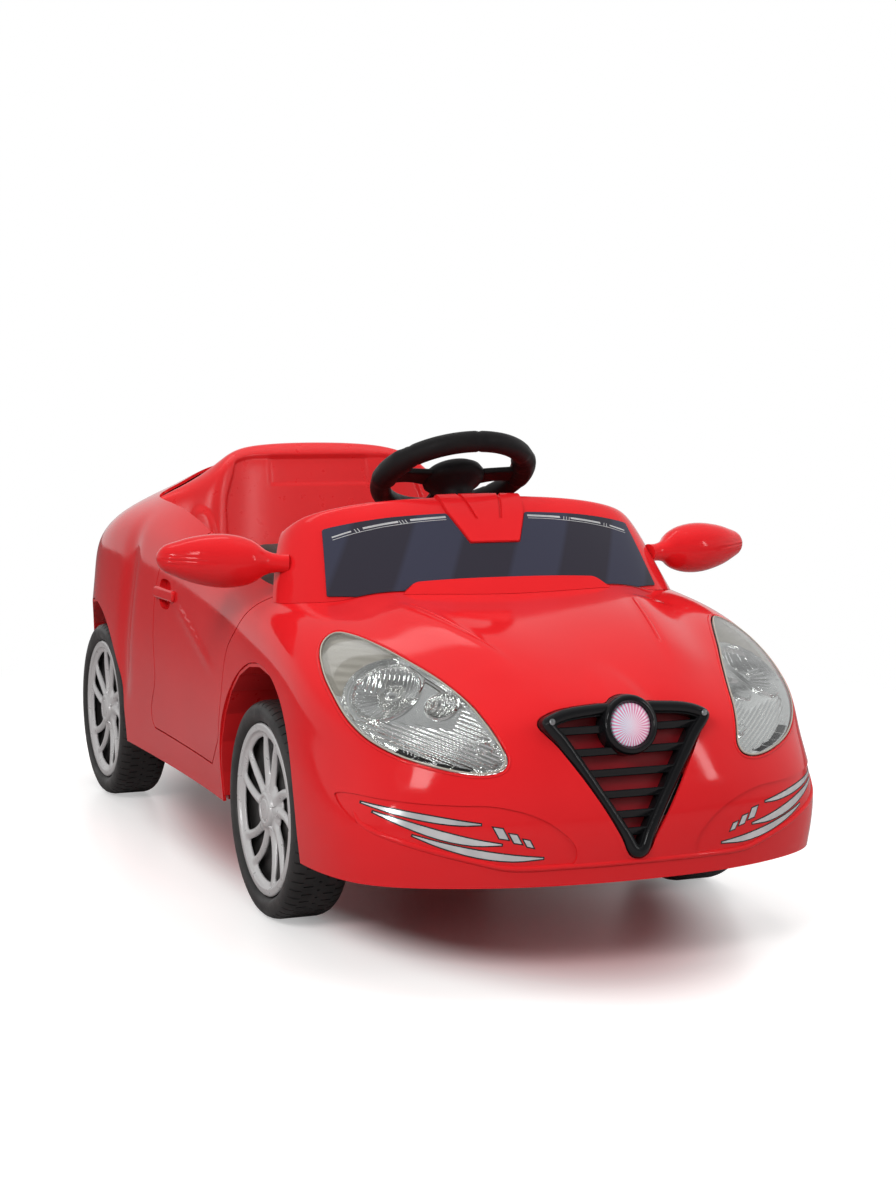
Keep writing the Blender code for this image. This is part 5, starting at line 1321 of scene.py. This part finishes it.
def cover_mesh(side):
    """The face of a wheel cover: five pairs of curved spokes between a hub and a rim, with open gaps."""
    points = [(0.0, 0.0, 0.0217)]
    rings = []
    spokes = 2 * SPOKE_PAIRS
    for radius, height in COVER_RINGS:
        out = min(max((radius - HUB_R) / 0.0445, 0.0), 1.0)
        swirl = radians(9.0) * out * out
        half = min((0.0112 - 0.0012 * out) / 2 / radius, radians(17.0))
        roof = sin(pi * min(max((radius - 0.0185) / 0.0500, 0.0), 1.0)) ** 0.6
        spots = []
        for k in range(spokes):
            apart = (15.5 if k % 2 else -15.5) * (1.0 - 0.18 * out)
            middle = radians(360 / SPOKE_PAIRS * (k // 2) + apart) + swirl
            spots.append([(middle + share * 2 * half, lift * roof) for share, lift in SPOKE_SECTION])
        ring = []
        for k, spoke in enumerate(spots):
            start = spoke[-1][0]
            end = spots[(k + 1) % spokes][0][0] + (2 * pi if k == spokes - 1 else 0)
            steps = 6 if k % 2 else 4
            across = [(start + (end - start) * i / steps, -0.0030 * roof) for i in range(1, steps)]
            for angle, lift in spoke + across:
                ring.append(len(points))
                points.append((radius * cos(angle), side * radius * sin(angle), height + lift))
        rings.append(ring)
    count = len(rings[0])
    faces = [(0, rings[0][k], rings[0][(k + 1) % count]) for k in range(count)]
    for (radius, _), a, b in zip(COVER_RINGS, rings, rings[1:]):
        for k in range(count):
            n = (k + 1) % count
            # Each pair of spokes has 18 spans: four over each spoke, four in its gap and six to the next pair
            span = k % 18
            gap = 4 <= span < 8 and GAP_REACH[0] <= radius < GAP_REACH[1]
            wide = span >= 12 and WIDE_REACH[0] <= radius < WIDE_REACH[1]
            if not (gap or wide):
                faces.append((a[k], a[n], b[n], b[k]))
    mesh = mesh_of(points, faces)
    if sum(f.normal.z for f in mesh.polygons) < 0:
        mesh.flip_normals()
    return mesh


def make_wheels():
    for end, axle in AXLES:
        for label, side in SIDES:
            spot = at(side * WHEEL_X, axle, WHEEL_R) @ Matrix.Rotation(side * pi / 2, 4, "Y")
            name = f"{end}_{label}"
            finish(add(tyre_mesh(), spot), f"tread_{name}", "tyre", 40, f"wheel_{name}", f"tyre_{name}")
            cover = thicken(add(cover_mesh(side), spot), -SKIN, 0.0)
            subdivide(cover, 2)
            finish(cover, f"spoked_cover_{name}", "silver", 50, f"wheel_{name}", f"wheel_cover_{name}")
            finish(turned(HUB_CAP, spot, 72), f"hub_cap_{name}", "silver", 40, f"wheel_{name}")


# Seat and cushion: the shell's rows from the front skirt up the back, as (x scale, y, z) down the middle
SEAT_ROWS = [(1.0, 0.012, 0.0893), (1.0, 0.012, 0.216), (1.0, 0.100, 0.213), (1.0, 0.205, 0.213),
             (1.0, 0.238, 0.285), (0.97, 0.256, 0.365), (0.86, 0.266, 0.414), (0.86, 0.296, 0.416),
             (0.92, 0.304, 0.380)]
# Its columns from the middle outwards, as (x, forward, up)
SEAT_COLUMNS = [(0.0, 0.0, 0.0), (0.100, 0.003, 0.001), (0.134, 0.030, 0.022), (0.160, 0.008, 0.012),
                (0.184, -0.010, 0.022)]
# How far each column falls below the middle at the top of the seat back
SHOULDER_DROP = [0.0, 0.003, 0.016, 0.040]
# The outer edge of the seat back, which follows the cockpit rim, as (x, y, z) from the lower back up
SEAT_EDGE = {4: (0.188, 0.238, 0.290), 5: (0.189, 0.252, 0.332), 6: (0.189, 0.260, 0.352),
             7: (0.189, 0.271, 0.353),
             8: (0.189, 0.273, 0.335)}
PANEL_DEPTH = 0.0030
HEADREST_DEPTH = 0.0016
BOLSTER_RISE = 0.0034
# The pad's middle line from its front edge back and up the seat back, as (y, z, thickness)
PAD_LINE = [(0.026, 0.2050, 0.004), (0.036, 0.2090, 0.010), (0.070, 0.2140, 0.014), (0.106, 0.2145, 0.015),
            (0.142, 0.2150, 0.014), (0.172, 0.2190, 0.012), (0.196, 0.2270, 0.007), (0.212, 0.2430, 0.011),
            (0.228, 0.2710, 0.012), (0.238, 0.2950, 0.009), (0.242, 0.3090, 0.004)]
# Shares of the pad's half width, and how thick it is at each
PAD_CROWN = [(-1.0, 0.25), (-0.80, 0.80), (0.0, 1.06), (0.80, 0.80), (1.0, 0.25)]
PAD_HALF_WIDTH = 0.1025
PAD_RISE = 0.88
PAD_SINK = 0.0036
PAD_VOXEL = 0.0045
PAD_PRESSURE = 4.0
PAD_SWELL = 0.0070
SWELL_FRAMES = 20
PAD_SEAM_DEPTH = 0.0016
CHANNEL_DEPTH = 0.0022
CHANNEL_SHARES = (0.31, 0.63)


def seat_point(row, column):
    if column == 4 and row in SEAT_EDGE:
        return SEAT_EDGE[row]
    scale, y, z = SEAT_ROWS[row]
    x, forward, up = SEAT_COLUMNS[column]
    if row <= 3:
        return (x * scale, y, z + (up if row else 0.0))
    drop = SHOULDER_DROP[column] if row >= 6 else 0.0
    return (x * scale, y - forward, z - drop)


def seat_relief(x, y, z):
    """The back's sunk panel, its headrest inset and the side bolsters."""
    upright = smoothstep(z, 0.262, 0.285) * (y > 0.15)
    shoulder = np.clip((x - 0.075) / 0.055, 0.0, 1.0)
    top = 0.4010 - 0.022 * shoulder ** 2
    side = 0.122 - 0.016 * smoothstep(z, 0.34, 0.40)
    inside = smoothstep(top - z, 0.0, 0.0060) * smoothstep(side - x, 0.0, 0.0060) * upright
    rest = np.maximum(np.abs(x) - 0.060, np.abs(z - 0.400) - 0.034)
    relief = -(PANEL_DEPTH + HEADREST_DEPTH * smoothstep(-rest, -0.0015, 0.0030)) * inside
    bolster = ((x - 0.1480) / 0.0150) ** 2 + ((z - 0.3050) / 0.0400) ** 2
    return relief + BOLSTER_RISE * smoothstep(1.0 - bolster, -0.1, 0.5) * (y > 0.15)


def pad_mesh():
    """The cushion's closed cage, a little slimmer than it ends up once it has swollen."""
    count, width = len(PAD_LINE), len(PAD_CROWN)
    points = []
    for lifted in (False, True):
        for i, (y, z, thick) in enumerate(PAD_LINE):
            before, after = PAD_LINE[max(i - 1, 0)], PAD_LINE[min(i + 1, count - 1)]
            normal = Vector((0, before[1] - after[1], after[0] - before[0])).normalized()
            half = PAD_HALF_WIDTH - 0.004 * sin(pi * i / (count - 1))
            for share, crown in PAD_CROWN:
                rise = thick * crown * PAD_RISE if lifted else -PAD_SINK
                points.append(Vector((share * half, y, z)) + normal * rise)
    under = grid(count, width)
    size = count * width
    faces = under + [tuple(v + size for v in reversed(face)) for face in under]
    rim = list(range(width)) + [i * width + width - 1 for i in range(1, count)]
    rim += [(count - 1) * width + j for j in range(width - 2, -1, -1)]
    rim += [i * width for i in range(count - 2, 0, -1)]
    for a, b in zip(rim, rim[1:] + rim[:1]):
        faces.append((b, a, a + size, b + size))
    return mesh_of(points, faces)


def swell(obj, pressure, cap, frames):
    """Inflates the mesh as cloth, holding every point within cap of where it began."""
    start = triples(obj.data.vertices, "co")
    cloth = modify(obj, "CLOTH")
    cloth.settings.use_pressure = True
    cloth.settings.uniform_pressure_force = pressure
    cloth.settings.effector_weights.gravity = 0.0
    cloth.point_cache.frame_start = 1
    cloth.point_cache.frame_end = frames
    scene = bpy.context.scene
    for number in range(1, frames + 1):
        scene.frame_set(number)
    depsgraph = bpy.context.evaluated_depsgraph_get()
    moved = triples(obj.evaluated_get(depsgraph).data.vertices, "co") - start
    obj.modifiers.clear()
    scene.frame_set(1)
    share = np.minimum(1.0, cap / np.maximum(np.linalg.norm(moved, axis=1), 1e-9))
    obj.data.vertices.foreach_set("co", (start + moved * share[:, None]).ravel())
    obj.data.update()


def pad_seams(x, y, z):
    """The sewn line inside the edge and the channels across the seat and at its bend."""
    line_y = np.array([p[0] for p in PAD_LINE])
    line_z = np.array([p[1] for p in PAD_LINE])
    run = np.concatenate([[0.0], np.cumsum(np.hypot(np.diff(line_y), np.diff(line_z)))])
    best = np.full(x.shape, 1.0)
    along = np.zeros_like(x)
    for k in range(len(run) - 1):
        dy, dz = line_y[k + 1] - line_y[k], line_z[k + 1] - line_z[k]
        t = np.clip(((y - line_y[k]) * dy + (z - line_z[k]) * dz) / (dy * dy + dz * dz), 0.0, 1.0)
        off = np.hypot(y - line_y[k] - t * dy, z - line_z[k] - t * dz)
        nearer = off < best
        best = np.where(nearer, off, best)
        along = np.where(nearer, run[k] + t * (run[k + 1] - run[k]), along)
    total = run[-1]
    edge = np.minimum(0.0935 - x, np.minimum(along, total - along) - 0.0090)
    groove = PAD_SEAM_DEPTH * bell(edge, 0.0016)
    for share in CHANNEL_SHARES:
        groove += CHANNEL_DEPTH * bell(along - total * share, 0.0022) * smoothstep(edge, -0.001, 0.002)
    pucker = 0.00025 * np.sin(2 * pi * along / 0.0065) * bell(edge, 0.004)
    return pucker - groove


def make_cushion(seat):
    pad = subdivide(add(pad_mesh()), 2)
    modify(pad, "REMESH", mode="VOXEL", voxel_size=PAD_VOXEL)
    settle(pad)
    swell(pad, PAD_PRESSURE, PAD_SWELL, SWELL_FRAMES)
    subdivide(pad, 1)
    modify(pad, "SMOOTH", iterations=6, factor=0.5)
    press(settle(pad), pad_seams)
    carve(pad, skin_of(seat, -0.020, 2 * GAP))
    finish(pad, "seat_cushion", "pad", None, "chassis", "seat_pad")


def make_seat(surface):
    points = [seat_point(r, c) for r in range(len(SEAT_ROWS)) for c in range(len(SEAT_COLUMNS))]
    faces = grid(len(SEAT_ROWS), len(SEAT_COLUMNS))
    seat = smooth_surface(cage_mesh(points, faces, Vector((0, -0.5, 1.0))), 5)
    shell = thicken(press(add(seat.data.copy()), seat_relief), -SKIN, 0.0)
    carve(shell, skin_of(surface, -SKIN - GAP, 0.040))
    finish(shell, "bucket_seat", "satin", 38, "chassis", "seat_shell")
    make_cushion(seat)
    discard(seat)


# Printed trim on the bumper: three tapered stripes that sweep down from the outer end, with their widths
SWEEPS = [([(0.2150, 0.1478), (0.1960, 0.1435), (0.1720, 0.1392), (0.1500, 0.1362), (0.1340, 0.1352)],
           [0.0006, 0.0034, 0.0046, 0.0034, 0.0006]),
          ([(0.2090, 0.1415), (0.1900, 0.1345), (0.1650, 0.1262), (0.1400, 0.1205), (0.1180, 0.1185)],
           [0.0006, 0.0044, 0.0064, 0.0050, 0.0006]),
          ([(0.1840, 0.1250), (0.1640, 0.1180), (0.1360, 0.1108), (0.1080, 0.1068), (0.0840, 0.1062)],
           [0.0006, 0.0036, 0.0058, 0.0048, 0.0006])]
# Three slanted bars between them, as (u, v, width, height)
BARS = [(0.1220, 0.1278, 0.0070, 0.0100), (0.1100, 0.1232, 0.0060, 0.0086), (0.0990, 0.1190, 0.0050, 0.0070)]
# The dark outline under each silver shape: how much wider and how high above the band each is
PRINTS = (("ink", 0.0011, 0.00015, "black_gloss"), ("foil", 0.0, 0.0003, "wheel_silver"))


def bumper_shapes():
    shapes = [rounded(ribbon(path, widths), 3, (0, 4, 5, 9)) for path, widths in SWEEPS]
    for u, v, wide, tall in BARS:
        lean, rise = tall * 0.45 / 2, tall / 2
        shapes.append([(u + lean, v + rise), (u + lean - wide, v + rise - 0.0012),
                       (u - lean - wide, v - rise), (u - lean, v - rise + 0.0012)])
    return shapes


def make_trim(surface):
    low = -BAND_DEPTH + 0.00005
    for label, side in SIDES:
        box = side_box(side, *TRIM_BOX)
        for k, shape in enumerate(bumper_shapes()):
            for key, wider, top, slot in PRINTS:
                outline = flipped(grow(shape, wider), side)
                trim = inlay(surface, outline, low, top - BAND_DEPTH, 0.20, nose_plane(), box)
                finish(trim, f"bumper_{key}_{label}_{k + 1}", key, 40, "chassis", slot=slot)


# Materials of the pieces that keep their CAD shape
KEPT = {
    # The grille's backing takes the darkened red, a painted shade of its recess
    "recess": "grille_backing",
    "satin": "chassis_tub dashboard wheel_arch_front_left wheel_arch_front_right wheel_arch_rear_left"
             " wheel_arch_rear_right",
    "black": "battery gearbox_housing charging_socket accelerator_pedal knuckle_left knuckle_right",
    "gloss": "battery_strap direction_switch power_switch music_button_1 music_button_2",
    "steel": "column_bracket drive_motor front_axle_beam rear_axle steering_column tie_rod",
    "mirror": "mirror_glass_left mirror_glass_right",
}


def paint_kept():
    for key, names in KEPT.items():
        for name in names.split():
            node = NODES[name]
            for spot in node.material_slots:
                spot.material = MATS[key]
            if not node.material_slots:
                node.data.materials.append(MATS[key])


# Camera, lights and ground
CAMERA_AT = (-0.8267, -2.0640, 0.5119)
CAMERA_YAW = 23.089
CAMERA_PITCH = -6.420
CAMERA_ROLL = 0.615
CAMERA_LENS = 64.18
AMBIENT = 0.42
WHITE = (1.0, 1.0, 1.0, 1.0)
WARM_WHITE = (1.0, 0.995, 0.985, 1.0)
# Half width and half length of the ellipse round the object inside which the floor doesn't glow, which leaves
# a painted shadow under the object
GLOW_REACH = (0.21, 0.56, 1.0)
FLOOR_GLOW = 0.44
# Floor colours: under the object a painted red bounce from the body, and the plain floor further out
FLOOR_PAINTED_RED_BOUNCE = (0.80, 0.50, 0.51, 1.0)
FAR_FLOOR = (0.84, 0.82, 0.81, 1.0)
# The floor as reflections and bounce light see it: darker than the camera sees it, a painted shade
FLOOR_PAINTED_SHADE = (0.42, 0.40, 0.40, 1.0)
FLOOR_HALF = 14.0
# Soft boxes: name, place, aim, size and power
LAMPS = [("key", (-1.8, -1.7, 1.8), (0, -0.1, 0.2), (0.9, 0.9), 38),
         ("top", (0.3, 0.4, 2.4), (0, 0, 0.2), (2.0, 1.2), 28),
         ("fill", (1.9, -1.7, 1.2), (0, -0.1, 0.2), (1.0, 1.2), 17)]
# Soft boxes that only show in the gloss
HIGHLIGHTS = [("strip", (-2.3, -1.6, 0.62), (0, -0.4, 0.2), (0.14, 0.55), 5.0),
              ("window", (-1.7, -1.9, 1.75), (0, -0.4, 0.2), (0.44, 0.60), 7.0),
              ("side_strip", (1.9, -2.0, 1.2), (0, -0.4, 0.2), (0.2, 0.9), 4.0),
              ("ceiling", (-0.3, 0.9, 2.2), (0, -0.2, 0.2), (1.5, 0.35), 2.4)]


def put(name, data, placement):
    obj = bpy.data.objects.new(name, data)
    obj.matrix_world = placement
    bpy.context.scene.collection.objects.link(obj)
    return obj


def make_camera():
    data = bpy.data.cameras.new("camera")
    data.lens = CAMERA_LENS
    data.sensor_width = 36.0
    data.clip_start = 0.05
    data.clip_end = 50.0
    yaw, pitch, roll = radians(CAMERA_YAW), radians(CAMERA_PITCH), radians(CAMERA_ROLL)
    forward = Vector((sin(yaw) * cos(pitch), cos(yaw) * cos(pitch), sin(pitch)))
    side = Vector((cos(yaw), -sin(yaw), 0.0))
    up = side.cross(forward)
    right = side * cos(roll) + up * sin(roll)
    bpy.context.scene.camera = put("camera", data, frame_at(CAMERA_AT, right, -forward.cross(right)))


def soft_light(name, spot, target, size, power, highlight):
    """A soft box that lights the object or, as a highlight, only shows in its gloss."""
    data = bpy.data.lights.new(name, "AREA")
    data.shape = "RECTANGLE"
    data.size, data.size_y = size
    data.energy = power
    if highlight and hasattr(data, "cycles"):
        data.cycles.max_bounces = 1
    turn = (Vector(target) - Vector(spot)).to_track_quat("-Z", "Y").to_matrix().to_4x4()
    lamp = put(name, data, at(*spot) @ turn)
    lamp.visible_glossy = lamp.visible_transmission = highlight
    lamp.visible_diffuse = not highlight


def ray_kinds(graph):
    """Which rays come from a shiny surface, also through clear covers, and which see the ground directly."""
    path = graph.node("LightPath").outputs
    bounced = graph.maths("GREATER_THAN", path["Glossy Depth"], 0.5)
    mirrored_ray = graph.maths("MAXIMUM", path["Is Glossy Ray"], bounced)
    through = graph.maths("SUBTRACT", path["Is Transmission Ray"], bounced)
    return mirrored_ray, graph.maths("MAXIMUM", path["Is Camera Ray"], through)


def make_studio():
    """A white surround, with the side behind the camera darker in reflections, as in a studio."""
    world = bpy.data.worlds.new("studio")
    bpy.context.scene.world = world
    world.use_nodes = True
    graph = Graph(world.node_tree)
    graph.tree.nodes.clear()
    split = graph.node("SeparateXYZ", graph.node("TexCoord").outputs["Generated"]).outputs
    towards = graph.ramp(split["Y"], 0.26, 0.74, -0.80, 0.20, "SMOOTHSTEP")
    upwards = graph.ramp(split["Z"], 1.0, 0.55, 0.25, 0.60, "SMOOTHSTEP")
    lit = graph.node("Background", WARM_WHITE, AMBIENT)
    seen = graph.node("Background", WHITE, 1.0)
    shown = graph.node("Background", WHITE, graph.maths("MULTIPLY", towards, upwards))
    mirrored_ray, direct = ray_kinds(graph)
    indirect = graph.node("MixShader", mirrored_ray, lit, shown)
    graph.node("OutputWorld", graph.node("MixShader", direct, indirect, seen))
    for lamp in LAMPS:
        soft_light(*lamp, False)
    for lamp in HIGHLIGHTS:
        soft_light(*lamp, True)


def make_ground():
    """A white floor that keeps the object's shadow near it, with a painted shadow and a painted red bounce in
    an ellipse under the object, and fades to plain white further out.
    """
    corners = [(-FLOOR_HALF, -FLOOR_HALF, 0), (FLOOR_HALF, -FLOOR_HALF, 0), (FLOOR_HALF, FLOOR_HALF, 0),
               (-FLOOR_HALF, FLOOR_HALF, 0)]
    ground = add(mesh_of(corners, [(0, 1, 2, 3)]))
    ground.name = "ground"
    made = bpy.data.materials.new("pale_ground")
    made.use_nodes = True
    graph = Graph(made.node_tree)
    graph.tree.nodes.clear()
    spot = graph.node("TexCoord").outputs["Object"]
    near = graph.length(graph.node("VectorMath", spot, GLOW_REACH, operation="DIVIDE"))
    # No glow inside the ellipse: the floor under the object keeps a painted shadow
    rise = graph.ramp(near, 0.0, FLOOR_GLOW, 0.80, 1.18, "SMOOTHSTEP")
    # Under the object the floor takes a painted red bounce light
    painted_bounce_tint = graph.mix(graph.maths("DIVIDE", rise, FLOOR_GLOW), FLOOR_PAINTED_RED_BOUNCE, FAR_FLOOR)
    grain = graph.node("Bump", Height=graph.node("TexNoise", Scale=60.0), Distance=0.0003, Strength=0.2)
    floor = graph.node("BsdfPrincipled", Base_Color=painted_bounce_tint, Roughness=0.30, Specular_IOR_Level=0.35,
                       Normal=grain)
    lifted = graph.node("AddShader", floor, graph.node("Emission", Strength=rise))
    fade = graph.ramp(graph.length(spot), 0.0, 1.0, 0.75, 1.35, "SMOOTHSTEP")
    faded = graph.node("MixShader", fade, lifted, graph.node("Emission", Strength=1.0))
    # Reflections and bounce light see the darker floor, a painted shade
    painted_shade_floor = graph.node("BsdfDiffuse", Color=FLOOR_PAINTED_SHADE)
    graph.node("OutputMaterial", graph.node("MixShader", ray_kinds(graph)[1], painted_shade_floor, faded))
    ground.data.materials.append(made)


def main():
    bpy.context.scene.view_settings.view_transform = "Standard"
    make_camera()
    surface = press(smooth_surface(cage_mesh(*body_cage(), Z_AXIS), 4), body_relief)
    for make in (make_body, make_doors, make_screen, make_lights, make_seat, make_trim):
        make(surface)
    discard(surface)
    for make in (make_grille, make_mirrors, make_steering, make_wheels, paint_kept, make_studio, make_ground):
        make()


main()
